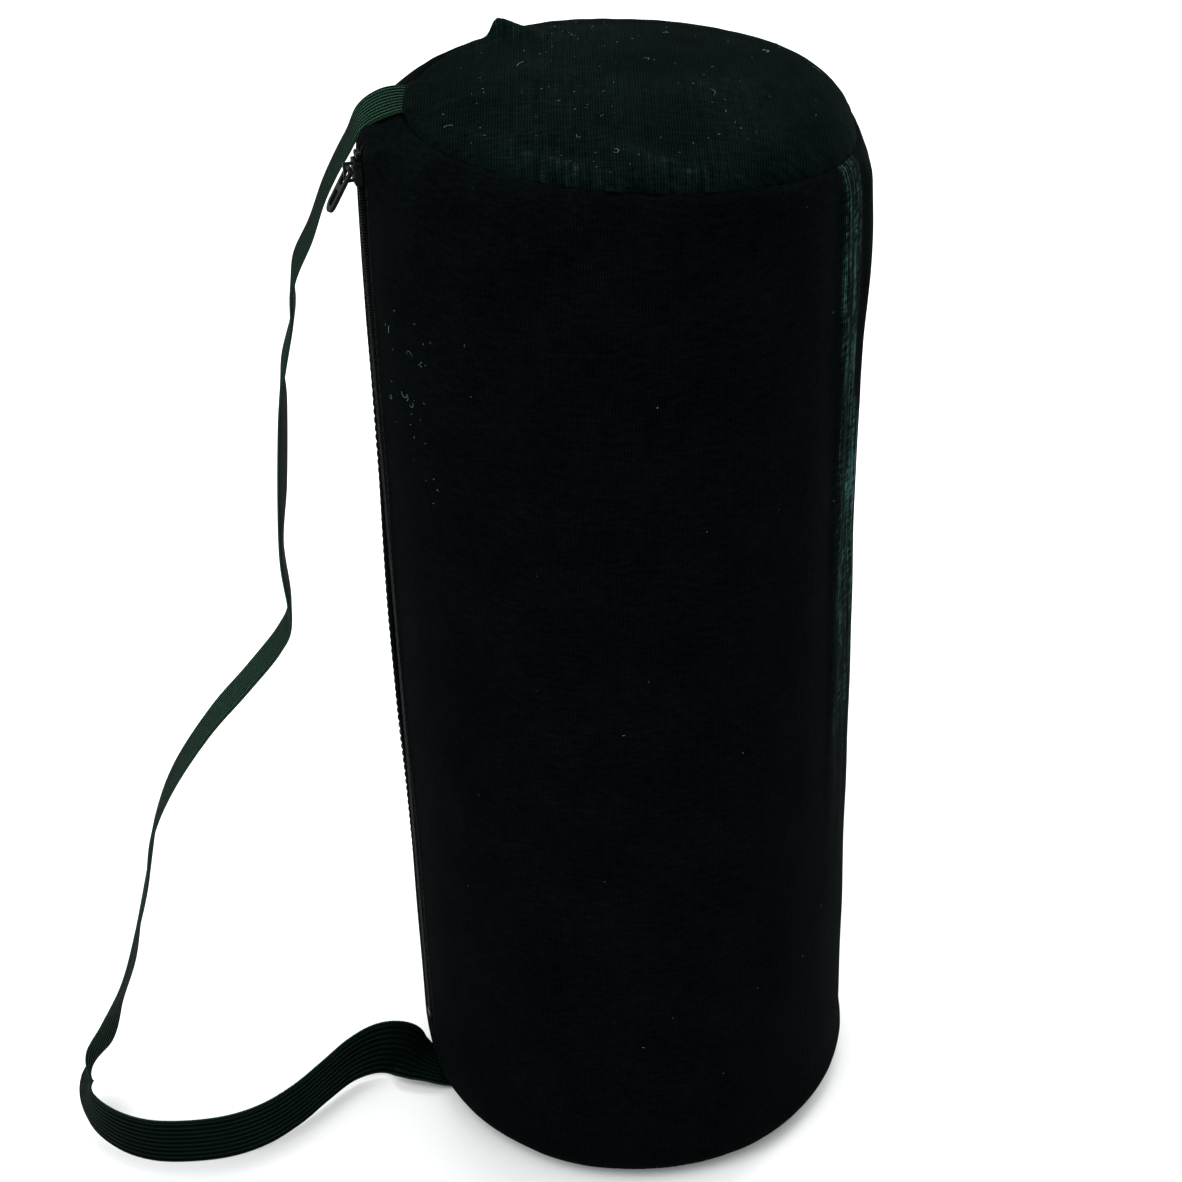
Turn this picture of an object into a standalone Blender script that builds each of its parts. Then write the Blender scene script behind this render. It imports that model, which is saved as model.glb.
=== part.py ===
"""Drum stick bag: an upright padded fabric tube with a side zip and a webbing shoulder strap.

Metres, +Z up. The origin is the middle of the base, on the surface the bag stands on. The zip faces -X,
turned a little towards -Y, and the strap hangs on the -X side. Azimuths count from +X towards +Y.
"""
import math

import bmesh
import bpy
from mathutils import Matrix, Vector

# Overall shape of the outer cover
BAG_RADIUS = 0.095
SHOULDER_TOP = 0.464
SHOULDER_RADIUS = 0.026
CROWN = 0.006
FOOT_RADIUS = 0.016

# Layers
COVER = 0.0015
FOAM = 0.007
LINING = 0.001
BOARD = 0.002
TOP_DEPTH = 0.0155
GAP = 0.0003

# Seams. The top panel's seam ring lies off centre, higher on the strap side.
TOP_SEAM_INSET = 0.0105
TOP_SEAM_SHIFT = 0.009
BASE_SEAM_INSET = 0.010
BINDING_HEIGHT = 0.008
BINDING = 0.0015

# Zip
ZIP_AZIMUTH = math.radians(196)
ZIP_LOW = 0.040
ZIP_HIGH_SHARE = 0.45
COVER_SLIT = 0.005
FOAM_SLIT = 0.006
LINING_SLIT_SHORT = 0.0125
TAPE = 0.0006
TAPE_WIDTH = 0.012
TAPE_EDGE = 0.0009
COIL_WIDTH = 0.002
COIL_HEIGHT = 0.002
COIL_EDGE = 0.0006
STOP_LENGTH = 0.0025
BOTTOM_STOP_LENGTH = 0.004

# Zip slider and pull
SLIDER_LENGTH = 0.009
SLIDER_WIDTH = 0.0072
SLIDER_PLATE = 0.0008
SLIDER_FLANGE = 0.0006
SLIDER_POST = 0.0006
SLIDER_POST_LENGTH = 0.003
BAIL_LENGTH = 0.0076
BAIL_BAR = 0.001
BAIL_WIDTH = 0.0016
BAIL_OPENING = 0.0026
SLIDER_REST_RISE = 0.0075
PULL_PIVOT_RISE = 0.001
PULL_LENGTH = 0.0175
PULL_WIDTH = 0.0076
PULL_THICKNESS = 0.0014
PULL_SIDE_BAR = 0.0017
PULL_UPPER_SLOT_END = 0.0066
PULL_LOWER_SLOT = (0.0088, 0.0152)
PULL_LOWER_SLOT_WIDTH = 0.0036
PULL_LEAN = math.radians(31)

# The front edge of the wall, which folds open about an upright line beside the zip
EDGE_ANGLE = math.radians(24)
EDGE_LOW = 0.066
EDGE_UNDER_SHOULDER = 0.014

# Shoulder strap
STRAP_WIDTH = 0.025
STRAP_THICKNESS = 0.0016
STRAP_SAMPLES = 96
# Each point of the route with the direction that the webbing's width has there
STRAP_ROUTE = (
    ((-0.0756, 0.0000, 0.4655), (-0.18, 0.97, 0.03)),
    ((-0.0812, 0.0000, 0.4639), (-0.16, 0.97, 0.03)),
    ((-0.0868, 0.0000, 0.4601), (-0.12, 0.99, 0.04)),
    ((-0.0921, 0.0000, 0.4543), (-0.10, 0.99, 0.04)),
    ((-0.0962, 0.0000, 0.4468), (-0.06, 1.00, 0.03)),
    ((-0.1012, 0.0000, 0.4385), (-0.06, 1.00, 0.00)),
    ((-0.1072, -0.0004, 0.4270), (-0.06, 1.00, 0.00)),
    ((-0.1132, -0.0010, 0.4122), (-0.08, 1.00, 0.00)),
    ((-0.1198, -0.0018, 0.3995), (-0.10, 1.00, 0.00)),
    ((-0.1222, -0.0026, 0.3900), (-0.06, 1.00, 0.00)),
    ((-0.1232, -0.0036, 0.3770), (-0.03, 1.00, 0.00)),
    ((-0.1288, -0.0054, 0.3560), (-0.09, 1.00, 0.00)),
    ((-0.1305, -0.0066, 0.3380), (0.02, 1.00, 0.00)),
    ((-0.1340, -0.0080, 0.3020), (0.03, 1.00, 0.00)),
    ((-0.1365, -0.0105, 0.2760), (-0.08, 1.00, 0.00)),
    ((-0.1355, -0.0125, 0.2500), (-0.10, 1.00, 0.00)),
    ((-0.1410, -0.0140, 0.2370), (-0.05, 1.00, 0.00)),
    ((-0.1560, -0.0160, 0.2190), (0.00, 1.00, 0.02)),
    ((-0.1730, -0.0180, 0.2000), (0.00, 1.00, 0.02)),
    ((-0.1910, -0.0200, 0.1740), (-0.02, 1.00, 0.00)),
    ((-0.2020, -0.0220, 0.1500), (0.00, 1.00, 0.00)),
    ((-0.2080, -0.0240, 0.1240), (-0.06, 1.00, 0.00)),
    ((-0.2160, -0.0255, 0.0960), (0.00, 1.00, 0.00)),
    ((-0.2230, -0.0270, 0.0720), (0.15, 0.99, 0.00)),
    ((-0.2325, -0.0290, 0.0510), (0.35, 0.92, 0.15)),
    ((-0.2400, -0.0320, 0.0340), (0.50, 0.70, 0.50)),
    ((-0.2465, -0.0390, 0.0205), (0.30, 0.30, 0.90)),
    ((-0.2435, -0.0510, 0.0145), (0.05, 0.00, 1.00)),
    ((-0.2310, -0.0630, 0.0130), (0.00, 0.00, 1.00)),
    ((-0.2150, -0.0705, 0.0130), (0.00, 0.00, 1.00)),
    ((-0.1970, -0.0720, 0.0130), (0.00, 0.00, 1.00)),
    ((-0.1790, -0.0695, 0.0130), (0.00, 0.00, 1.00)),
    ((-0.1640, -0.0625, 0.0130), (0.00, 0.00, 1.00)),
    ((-0.1510, -0.0515, 0.0135), (0.00, 0.00, 1.00)),
    ((-0.1400, -0.0390, 0.0145), (0.00, 0.00, 1.00)),
    ((-0.1290, -0.0265, 0.0150), (0.00, 0.00, 1.00)),
    ((-0.1175, -0.0190, 0.0145), (0.00, 0.10, 1.00)),
    ((-0.1070, -0.0178, 0.0128), (-0.10, 0.46, 0.88)),
    ((-0.0990, -0.0190, 0.0078), (-0.17, 0.90, 0.38)),
    ((-0.0915, -0.0204, 0.0036), (-0.21, 0.97, 0.02)),
)

SEGMENT = math.radians(6)
FABRIC_BLACK = (0.008, 0.010, 0.010)
LINING_BLACK = (0.012, 0.013, 0.014)
FOAM_GREY = (0.10, 0.10, 0.10)
WEBBING_BLACK = (0.012, 0.017, 0.014)
ZIP_BLACK = (0.010, 0.010, 0.011)
SLIDER_BLACK = (0.015, 0.015, 0.016)
BOARD_GREY = (0.05, 0.05, 0.05)

# Radii of the wall's layers, from the outside in
COVER_INNER = BAG_RADIUS - COVER
TAPE_OUTER = COVER_INNER - GAP
TAPE_INNER = TAPE_OUTER - TAPE
FOAM_OUTER = TAPE_INNER - GAP
FOAM_INNER = FOAM_OUTER - FOAM
LINING_OUTER = FOAM_INNER - GAP
LINING_INNER = LINING_OUTER - LINING
DISC_RADIUS = FOAM_INNER - 2 * GAP

# The shoulder's and the foot's arcs, and the seams on them
SHOULDER_BASE = SHOULDER_TOP - SHOULDER_RADIUS
SHOULDER_AXIS = BAG_RADIUS - SHOULDER_RADIUS
EDGE_HIGH = SHOULDER_BASE - EDGE_UNDER_SHOULDER
SLIDER_REST_Z = SHOULDER_BASE + SLIDER_REST_RISE
FOOT_AXIS = BAG_RADIUS - FOOT_RADIUS
TOP_UNDER_COVER = COVER + 3 * GAP
TOP_SEAM_RADIUS = BAG_RADIUS - TOP_SEAM_INSET
BASE_SEAM_RADIUS = BAG_RADIUS - BASE_SEAM_INSET
BASE_SEAM_ANGLE = math.acos((BASE_SEAM_RADIUS - FOOT_AXIS) / FOOT_RADIUS)

# Heights of the stack in the base and under the top
BOARD_LOW = COVER + GAP
BASE_FOAM_LOW = BOARD_LOW + BOARD + GAP
BASE_LINING_LOW = BASE_FOAM_LOW + FOAM + GAP
CAVITY_LOW = BASE_LINING_LOW + LINING
TOP_FOAM_LOW = SHOULDER_TOP - TOP_DEPTH
TOP_LINING_LOW = TOP_FOAM_LOW - GAP - LINING
WALL_LINING_HIGH = TOP_LINING_LOW - GAP
LINING_SLIT_HIGH = WALL_LINING_HIGH - LINING_SLIT_SHORT

# Radii of the zip's parts along the line that faces the zip
COIL_INNER = TAPE_OUTER + GAP
COIL_OUTER = COIL_INNER + COIL_HEIGHT
PLATE_INNER = COIL_OUTER + GAP
PLATE_OUTER = PLATE_INNER + SLIDER_PLATE
PULL_AXIS_RADIUS = PLATE_OUTER + BAIL_OPENING / 2
COIL_HIGH = SLIDER_REST_Z + SLIDER_LENGTH / 2 + GAP
COIL_LOW = ZIP_LOW + GAP + BOTTOM_STOP_LENGTH + GAP
TAPE_HIGH = SHOULDER_BASE
STOP_LOW = COIL_HIGH + GAP


def clear_scene():
    for obj in list(bpy.data.objects):
        bpy.data.objects.remove(obj, do_unlink=True)


def material(name, colour, roughness, metallic=0.0):
    made = bpy.data.materials.new(name)
    made.use_nodes = True
    shader = made.node_tree.nodes["Principled BSDF"]
    shader.inputs["Base Color"].default_value = (*colour, 1.0)
    shader.inputs["Roughness"].default_value = roughness
    shader.inputs["Metallic"].default_value = metallic
    return made


def finish_mesh(name, bm, made, smooth_below=35):
    """Turns a bmesh into a named object with outward faces and its material."""
    bmesh.ops.remove_doubles(bm, verts=bm.verts, dist=1e-7)
    bmesh.ops.recalc_face_normals(bm, faces=bm.faces)
    mesh = bpy.data.meshes.new(name)
    bm.to_mesh(mesh)
    bm.free()
    mesh.shade_smooth()
    mesh.set_sharp_from_angle(angle=math.radians(smooth_below))
    mesh.materials.append(made)
    obj = bpy.data.objects.new(name, mesh)
    bpy.context.scene.collection.objects.link(obj)
    return obj


def polar(radius, azimuth, z):
    return Vector((radius * math.cos(azimuth), radius * math.sin(azimuth), z))


def shell(name, made, azimuths, rows, outer, inner, keep=None, ring=False):
    """A curved panel of cloth or foam. outer and inner give radius and height at an azimuth and a row.

    keep says which cells of the grid are there, so that slits and windows are left open.
    """
    bm = bmesh.new()
    columns = len(azimuths)
    cells = columns if ring else columns - 1
    sides = []
    for surface in (outer, inner):
        side = []
        for azimuth in azimuths:
            places = [surface(azimuth, j) for j in range(rows)]
            side.append([bm.verts.new(polar(radius, azimuth, z)) for radius, z in places])
        sides.append(side)
    out, back = sides

    def there(i, j):
        if ring:
            i %= columns
        elif not 0 <= i < cells:
            return False
        return 0 <= j < rows - 1 and (keep is None or keep(i, j))

    for i in range(cells):
        after = (i + 1) % columns
        for j in range(rows - 1):
            if not there(i, j):
                continue
            bm.faces.new((out[i][j], out[after][j], out[after][j + 1], out[i][j + 1]))
            bm.faces.new((back[i][j], back[i][j + 1], back[after][j + 1], back[after][j]))
            edges = (
                (there(i, j - 1), (i, j), (after, j)),
                (there(i, j + 1), (after, j + 1), (i, j + 1)),
                (there(i - 1, j), (i, j + 1), (i, j)),
                (there(i + 1, j), (after, j), (after, j + 1)),
            )
            for met, (a, b), (c, d) in edges:
                if not met:
                    bm.faces.new((out[a][b], back[a][b], back[c][d], out[c][d]))
    loose = [v for v in bm.verts if not v.link_faces]
    bmesh.ops.delete(bm, geom=loose, context="VERTS")
    return finish_mesh(name, bm, made)


def disc(name, made, shares, *surfaces):
    """A round panel. Each of its surfaces is its edge's radius at an azimuth and its height at a radius."""
    bm = bmesh.new()
    count = round(math.tau / SEGMENT)
    rims = []
    for edge, height in surfaces:
        rings = []
        for share in shares:
            ring = []
            for k in range(count):
                radius = share * edge(k * SEGMENT)
                ring.append(bm.verts.new(polar(radius, k * SEGMENT, height(radius))))
            rings.append(ring)
        centre = bm.verts.new((0, 0, height(0)))
        rims.append(rings[0])
        for k in range(count):
            after = (k + 1) % count
            for outer, inner in zip(rings, rings[1:]):
                bm.faces.new((outer[k], outer[after], inner[after], inner[k]))
            bm.faces.new((rings[-1][k], rings[-1][after], centre))
    for k in range(count):
        after = (k + 1) % count
        bm.faces.new((rims[0][k], rims[0][after], rims[1][after], rims[1][k]))
    return finish_mesh(name, bm, made)


def shoulder(radius, inset=0.0):
    """Height of the top's surface at a radius, or of one that lies inset under it."""
    reach = radius - SHOULDER_AXIS
    if reach <= 0:
        return SHOULDER_TOP - inset + CROWN * (1 - (radius / SHOULDER_AXIS) ** 2)
    return SHOULDER_BASE + math.sqrt((SHOULDER_RADIUS - inset) ** 2 - reach**2)


def bowed(low):
    """Heights of a disc's underside that bows up by the crown in the middle."""
    return lambda radius: low + CROWN * (1 - (radius / DISC_RADIUS) ** 2)


def foot(radius, inset=0.0):
    """Height of the base's surface at a radius, or of one that lies inset above it."""
    reach = radius - FOOT_AXIS
    if reach <= 0:
        return inset
    return FOOT_RADIUS - math.sqrt((FOOT_RADIUS - inset) ** 2 - reach**2)


def top_seam_radius(azimuth):
    """Distance of the top seam from the bag's axis: a ring that is shifted towards +X."""
    across = TOP_SEAM_SHIFT * math.sin(azimuth)
    return TOP_SEAM_SHIFT * math.cos(azimuth) + math.sqrt(TOP_SEAM_RADIUS**2 - across**2)


def top_seam_angle(azimuth):
    """Where the top seam lies on the shoulder's arc, from 0 at the wall to a quarter turn at the top."""
    return math.acos((top_seam_radius(azimuth) - SHOULDER_AXIS) / SHOULDER_RADIUS)


def top_seam_under(azimuth):
    """Distance of the top panel's lower edge from the axis, square under the seam."""
    return SHOULDER_AXIS + (SHOULDER_RADIUS - COVER) * math.cos(top_seam_angle(azimuth))


def base_seam_above(azimuth):
    return FOOT_AXIS + (FOOT_RADIUS - COVER) * math.cos(BASE_SEAM_ANGLE)


def half_angle(half_width, radius=BAG_RADIUS):
    return math.asin(half_width / radius)


def around(slit):
    """Azimuths of a wall that is open or split at the zip: the slit's edges, the fold line, then steps."""
    front = [slit + (EDGE_ANGLE - slit) * k / 3 for k in range(4)]
    steps = round((math.tau - EDGE_ANGLE) / SEGMENT)
    rest = [EDGE_ANGLE + k * SEGMENT for k in range(1, steps)]
    return [ZIP_AZIMUTH + a for a in front + rest + [math.tau - slit]]


def zip_window(columns, low_row, edge_low_row, edge_high_row, high_row):
    """Leaves out the zip's slit and the window where the front edge folds open."""

    def keep(i, j):
        if i == columns - 1:
            return not low_row <= j < high_row
        if i < 3:
            return not edge_low_row <= j < edge_high_row
        return True

    return keep


def front_span(slit, radius):
    """Azimuths of a layer of the front edge, a gap short of the fold line."""
    end = EDGE_ANGLE - GAP / radius
    return [ZIP_AZIMUTH + slit + (end - slit) * k / 3 for k in range(4)]


def straight(radius, heights):
    return lambda azimuth, row: (radius, heights[row])


def wall_cover(made):
    foot_start = BASE_SEAM_ANGLE - GAP / (FOOT_RADIUS - COVER)
    foot_angles = [-foot_start * (1 - k / 3) for k in range(3)]
    heights = [FOOT_RADIUS, ZIP_LOW, EDGE_LOW, EDGE_HIGH, SHOULDER_BASE]
    shares = [ZIP_HIGH_SHARE, 0.7, 1.0]
    rows = len(foot_angles) + len(heights) + len(shares)

    def surface(inset):
        def place(azimuth, row):
            if row < len(foot_angles):
                angle = foot_angles[row]
                reach = FOOT_RADIUS - inset
                return FOOT_AXIS + reach * math.cos(angle), FOOT_RADIUS + reach * math.sin(angle)
            row -= len(foot_angles)
            if row < len(heights):
                return BAG_RADIUS - inset, heights[row]
            share = shares[row - len(heights)]
            angle = share * (top_seam_angle(azimuth) - GAP / (SHOULDER_RADIUS - COVER))
            reach = SHOULDER_RADIUS - inset
            return SHOULDER_AXIS + reach * math.cos(angle), SHOULDER_BASE + reach * math.sin(angle)

        return place

    azimuths = around(half_angle(COVER_SLIT))
    first = len(foot_angles) + 1
    keep = zip_window(len(azimuths), first, first + 1, first + 2, first + 4)
    return shell("wall_cover", made, azimuths, rows, surface(0), surface(COVER), keep, ring=True)


def wall_foam(made):
    foot_reach = FOOT_RADIUS - (BAG_RADIUS - FOAM_OUTER)
    foot_end = math.acos((FOAM_INNER + GAP - FOOT_AXIS) / foot_reach)
    top_reach = SHOULDER_RADIUS - (BAG_RADIUS - FOAM_OUTER)
    top_end = math.acos((FOAM_INNER + GAP - SHOULDER_AXIS) / top_reach)
    outline = []
    for k in range(2):
        angle = foot_end * (1 - k / 2)
        outline.append((FOOT_AXIS + foot_reach * math.cos(angle), FOOT_RADIUS - foot_reach * math.sin(angle)))
    for z in (FOOT_RADIUS, ZIP_LOW, EDGE_LOW, EDGE_HIGH, SHOULDER_BASE):
        outline.append((FOAM_OUTER, z))
    for angle in (top_end * 2 / 3, top_end):
        radius = SHOULDER_AXIS + top_reach * math.cos(angle)
        outline.append((radius, SHOULDER_BASE + top_reach * math.sin(angle)))
    azimuths = around(half_angle(FOAM_SLIT))
    keep = zip_window(len(azimuths), 3, 4, 5, 7)
    return shell(
        "wall_foam", made, azimuths, len(outline),
        lambda azimuth, row: outline[row],
        lambda azimuth, row: (FOAM_INNER, outline[row][1]),
        keep, ring=True,
    )


def wall_lining(made):
    heights = [CAVITY_LOW + GAP, ZIP_LOW, EDGE_LOW, EDGE_HIGH, LINING_SLIT_HIGH, WALL_LINING_HIGH]
    azimuths = around(half_angle(FOAM_SLIT))
    keep = zip_window(len(azimuths), 1, 2, 3, 4)
    outer = straight(LINING_OUTER, heights)
    inner = straight(LINING_INNER, heights)
    return shell("wall_lining", made, azimuths, len(heights), outer, inner, keep, ring=True)


def ring_band(name, made, inner_radius, low, high):
    azimuths = [k * SEGMENT for k in range(round(math.tau / SEGMENT))]
    heights = (low, high)
    outer = straight(inner_radius + BINDING, heights)
    return shell(name, made, azimuths, 2, outer, straight(inner_radius, heights), ring=True)


def base_parts(cloth, lining, foam, board):
    shares = (1.0, FOOT_AXIS / BASE_SEAM_RADIUS)
    under = (lambda azimuth: BASE_SEAM_RADIUS, foot)
    disc("base_cover", cloth, shares, (base_seam_above, lambda r: foot(r, COVER)), under)
    flat_panel("base_board", board, FOOT_AXIS - GAP, BOARD_LOW, BOARD)
    flat_panel("base_foam", foam, DISC_RADIUS, BASE_FOAM_LOW, FOAM)
    flat_panel("base_lining", lining, DISC_RADIUS, BASE_LINING_LOW, LINING)


def disc_edge(azimuth):
    return DISC_RADIUS


def flat_panel(name, made, radius, low, thickness):
    def edge(azimuth):
        return radius

    disc(name, made, (1.0,), (edge, lambda r: low + thickness), (edge, lambda r: low))


def top_parts(cloth, lining, foam):
    under = (top_seam_under, lambda r: shoulder(r, COVER))
    disc("top_cover", cloth, (1.0, 0.97, 0.92, 0.86, 0.78, 0.6, 0.3), (top_seam_radius, shoulder), under)
    foam_top = (disc_edge, lambda r: shoulder(r, TOP_UNDER_COVER))
    disc("top_foam", foam, (1.0, 0.95, 0.89, 0.82, 0.5), foam_top, (disc_edge, bowed(TOP_FOAM_LOW)))
    lining_top = (disc_edge, bowed(TOP_LINING_LOW + LINING))
    disc("top_lining", lining, (1.0, 0.5), lining_top, (disc_edge, bowed(TOP_LINING_LOW)))


def front_edge_parts(cloth, lining, foam):
    heights = (EDGE_LOW + GAP, EDGE_HIGH - GAP)
    layers = (
        ("front_edge_cover", cloth, COVER_SLIT, BAG_RADIUS, COVER_INNER),
        ("front_edge_foam", foam, FOAM_SLIT, FOAM_OUTER, FOAM_INNER),
        ("front_edge_lining", lining, FOAM_SLIT, LINING_OUTER, LINING_INNER),
    )
    for name, finish, slit, outer, inner in layers:
        span = front_span(half_angle(slit), inner)
        shell(name, finish, span, 2, straight(outer, heights), straight(inner, heights))


def zip_strip(name, made, side, start, width, outer, inner, low, high):
    """A strip beside the zip's middle line; side is 1 towards the front edge and -1 towards the rear."""
    angles = [half_angle(start + width * k / 2, inner) for k in range(3)]
    azimuths = [ZIP_AZIMUTH + side * a for a in angles][::side]
    heights = (low, high)
    return shell(name, made, azimuths, 2, straight(outer, heights), straight(inner, heights))


def block(bm, radial, across, heights):
    """A box given by its spans along the zip's outward direction, across it and up."""
    made = bmesh.ops.create_cube(bm, size=1.0)["verts"]
    spans = (radial, across, heights)
    for vert in made:
        vert.co = Vector([lo + (hi - lo) * (c + 0.5) for c, (lo, hi) in zip(vert.co, spans)])


def joined_blocks(name, made, blocks):
    """Unites boxes, each given by its three spans, into one body in the zip's frame."""
    pieces = []
    for spans in blocks:
        bm = bmesh.new()
        block(bm, *spans)
        pieces.append(finish_mesh(name, bm, made))
    body = pieces[0]
    for piece in pieces[1:]:
        combine(body, piece, "UNION")
    turn_to_zip(body)


def combine(body, other, operation):
    modifier = body.modifiers.new(operation.lower(), "BOOLEAN")
    modifier.operation = operation
    modifier.solver = "EXACT"
    modifier.object = other
    other.hide_render = True
    other.display_type = "WIRE"
    other.parent = body
    other.name = body.name + "_tool"


def turn_to_zip(obj, pivot=(0.0, 0.0, 0.0)):
    """Places an object made in the zip's frame: x outwards, y across, z up, with its origin at pivot."""
    turn = Matrix.Rotation(ZIP_AZIMUTH, 4, "Z")
    obj.matrix_world = turn @ Matrix.Translation(pivot)


def zip_slider(made):
    half = SLIDER_WIDTH / 2
    low = SLIDER_REST_Z - SLIDER_LENGTH / 2
    high = SLIDER_REST_Z + SLIDER_LENGTH / 2
    back = TAPE_INNER - GAP
    bail_top = PLATE_OUTER + BAIL_OPENING
    flange_end = TAPE_OUTER + 2 * GAP
    bail_half = BAIL_LENGTH / 2
    bite = SLIDER_PLATE / 2
    post = (-SLIDER_POST / 2, SLIDER_POST / 2)
    bail = (-BAIL_WIDTH / 2, BAIL_WIDTH / 2)
    blocks = [
        ((PLATE_INNER, PLATE_OUTER), (-half, half), (low, high)),
        ((back - SLIDER_PLATE, back), (-half, half), (low, high)),
        ((back - bite, PLATE_INNER + bite), post, (high - SLIDER_POST_LENGTH, high)),
        ((bail_top, bail_top + BAIL_BAR), bail, (SLIDER_REST_Z - bail_half, SLIDER_REST_Z + bail_half)),
    ]
    for side in (-1, 1):
        across = sorted((side * half, side * (half - SLIDER_FLANGE)))
        blocks.append(((flange_end, PLATE_INNER + bite), across, (low, high)))
        leg = sorted((SLIDER_REST_Z + side * bail_half, SLIDER_REST_Z + side * (bail_half - BAIL_BAR)))
        leg_span = (PLATE_OUTER - bite, bail_top + BAIL_BAR / 2)
        blocks.append((leg_span, bail, leg))
    joined_blocks("zip_slider", made, blocks)


def rounded_bar(bm, start, end, half_width, half_thickness):
    """A flat bar along -z with a round lower end, from start to end below the pivot."""
    arc = 8
    outline = [(half_width, -start), (-half_width, -start)]
    for k in range(arc + 1):
        angle = math.pi + math.pi * k / arc
        outline.append((half_width * math.cos(angle), -end + half_width + half_width * math.sin(angle)))
    sides = []
    for x in (-half_thickness, half_thickness):
        sides.append([bm.verts.new((x, y, z)) for y, z in outline])
    bm.faces.new(sides[0])
    bm.faces.new(sides[1])
    for k in range(len(outline)):
        after = (k + 1) % len(outline)
        bm.faces.new((sides[0][k], sides[0][after], sides[1][after], sides[1][k]))


def slot_cutter(body, made, start, end, half_width):
    bm = bmesh.new()
    rounded_bar(bm, start, end, half_width, PULL_THICKNESS)
    cutter = finish_mesh("slot", bm, made)
    combine(body, cutter, "DIFFERENCE")


def zip_pull(made):
    """The pull hangs from its cross bar, whose middle is the pull's origin, and leans outwards."""
    bm = bmesh.new()
    rounded_bar(bm, -PULL_THICKNESS / 2, PULL_LENGTH, PULL_WIDTH / 2, PULL_THICKNESS / 2)
    body = finish_mesh("zip_pull", bm, made)
    slot_cutter(body, made, PULL_THICKNESS / 2, PULL_UPPER_SLOT_END, PULL_WIDTH / 2 - PULL_SIDE_BAR)
    slot_cutter(body, made, *PULL_LOWER_SLOT, PULL_LOWER_SLOT_WIDTH / 2)
    pivot = (PULL_AXIS_RADIUS, 0.0, SLIDER_REST_Z + PULL_PIVOT_RISE)
    turn_to_zip(body, pivot)
    body.matrix_world = body.matrix_world @ Matrix.Rotation(-PULL_LEAN, 4, "Y")


def zip_parts(tape, coil, metal):
    for name, side, low, high, tape_high in (
        ("front", 1, EDGE_LOW + GAP, EDGE_HIGH - GAP, EDGE_HIGH - GAP),
        ("rear", -1, COIL_LOW, COIL_HIGH, TAPE_HIGH),
    ):
        tape_name = name + "_zip_tape"
        tape_width = TAPE_WIDTH - TAPE_EDGE
        zip_strip(tape_name, tape, side, TAPE_EDGE, tape_width, TAPE_OUTER, TAPE_INNER, low, tape_high)
        zip_strip(name + "_zip_coil", coil, side, COIL_EDGE, COIL_WIDTH, COIL_OUTER, COIL_INNER, low, high)
    reach = COIL_EDGE + COIL_WIDTH
    coil_depth = (COIL_INNER, COIL_OUTER)
    for name, side in (("front", 1), ("rear", -1)):
        across = sorted((side * (COIL_EDGE - GAP), side * reach))
        stop = (coil_depth, across, (STOP_LOW, STOP_LOW + STOP_LENGTH))
        joined_blocks(name + "_zip_top_stop", metal, [stop])
    bottom = (ZIP_LOW + GAP, ZIP_LOW + GAP + BOTTOM_STOP_LENGTH)
    joined_blocks("zip_bottom_stop", metal, [(coil_depth, (-reach, reach), bottom)])
    zip_slider(metal)
    zip_pull(metal)


def smooth_point(points, place):
    """A point on the smooth curve through the given vectors, place counting from 0 at the first one."""
    k = min(int(place), len(points) - 2)
    t = place - k
    before = points[max(k - 1, 0)]
    a, b = points[k], points[k + 1]
    after = points[min(k + 2, len(points) - 1)]
    return 0.5 * (
        2 * a + (b - before) * t + (2 * before - 5 * a + 4 * b - after) * t**2
        + (3 * a - before - 3 * b + after) * t**3
    )


def shoulder_strap(made):
    """Flat webbing along its route: a rectangle that turns with the webbing's width."""
    middles = [Vector(p) for p, w in STRAP_ROUTE]
    widths = [Vector(w).normalized() for p, w in STRAP_ROUTE]
    last = len(middles) - 1
    bm = bmesh.new()
    rings = []
    for k in range(STRAP_SAMPLES + 1):
        place = last * k / STRAP_SAMPLES
        here = smooth_point(middles, place)
        ahead = smooth_point(middles, min(place + 0.02, last))
        behind = smooth_point(middles, max(place - 0.02, 0))
        along = (ahead - behind).normalized()
        wide = smooth_point(widths, place)
        wide = (wide - wide.dot(along) * along).normalized() * STRAP_WIDTH / 2
        thick = along.cross(wide).normalized() * STRAP_THICKNESS / 2
        corners = (wide + thick, thick - wide, -wide - thick, wide - thick)
        rings.append([bm.verts.new(here + c) for c in corners])
    for a, b in zip(rings, rings[1:]):
        for k in range(4):
            after = (k + 1) % 4
            bm.faces.new((a[k], a[after], b[after], b[k]))
    bm.faces.new(rings[0])
    bm.faces.new(rings[-1])
    finish_mesh("shoulder_strap", bm, made, smooth_below=60)


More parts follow.
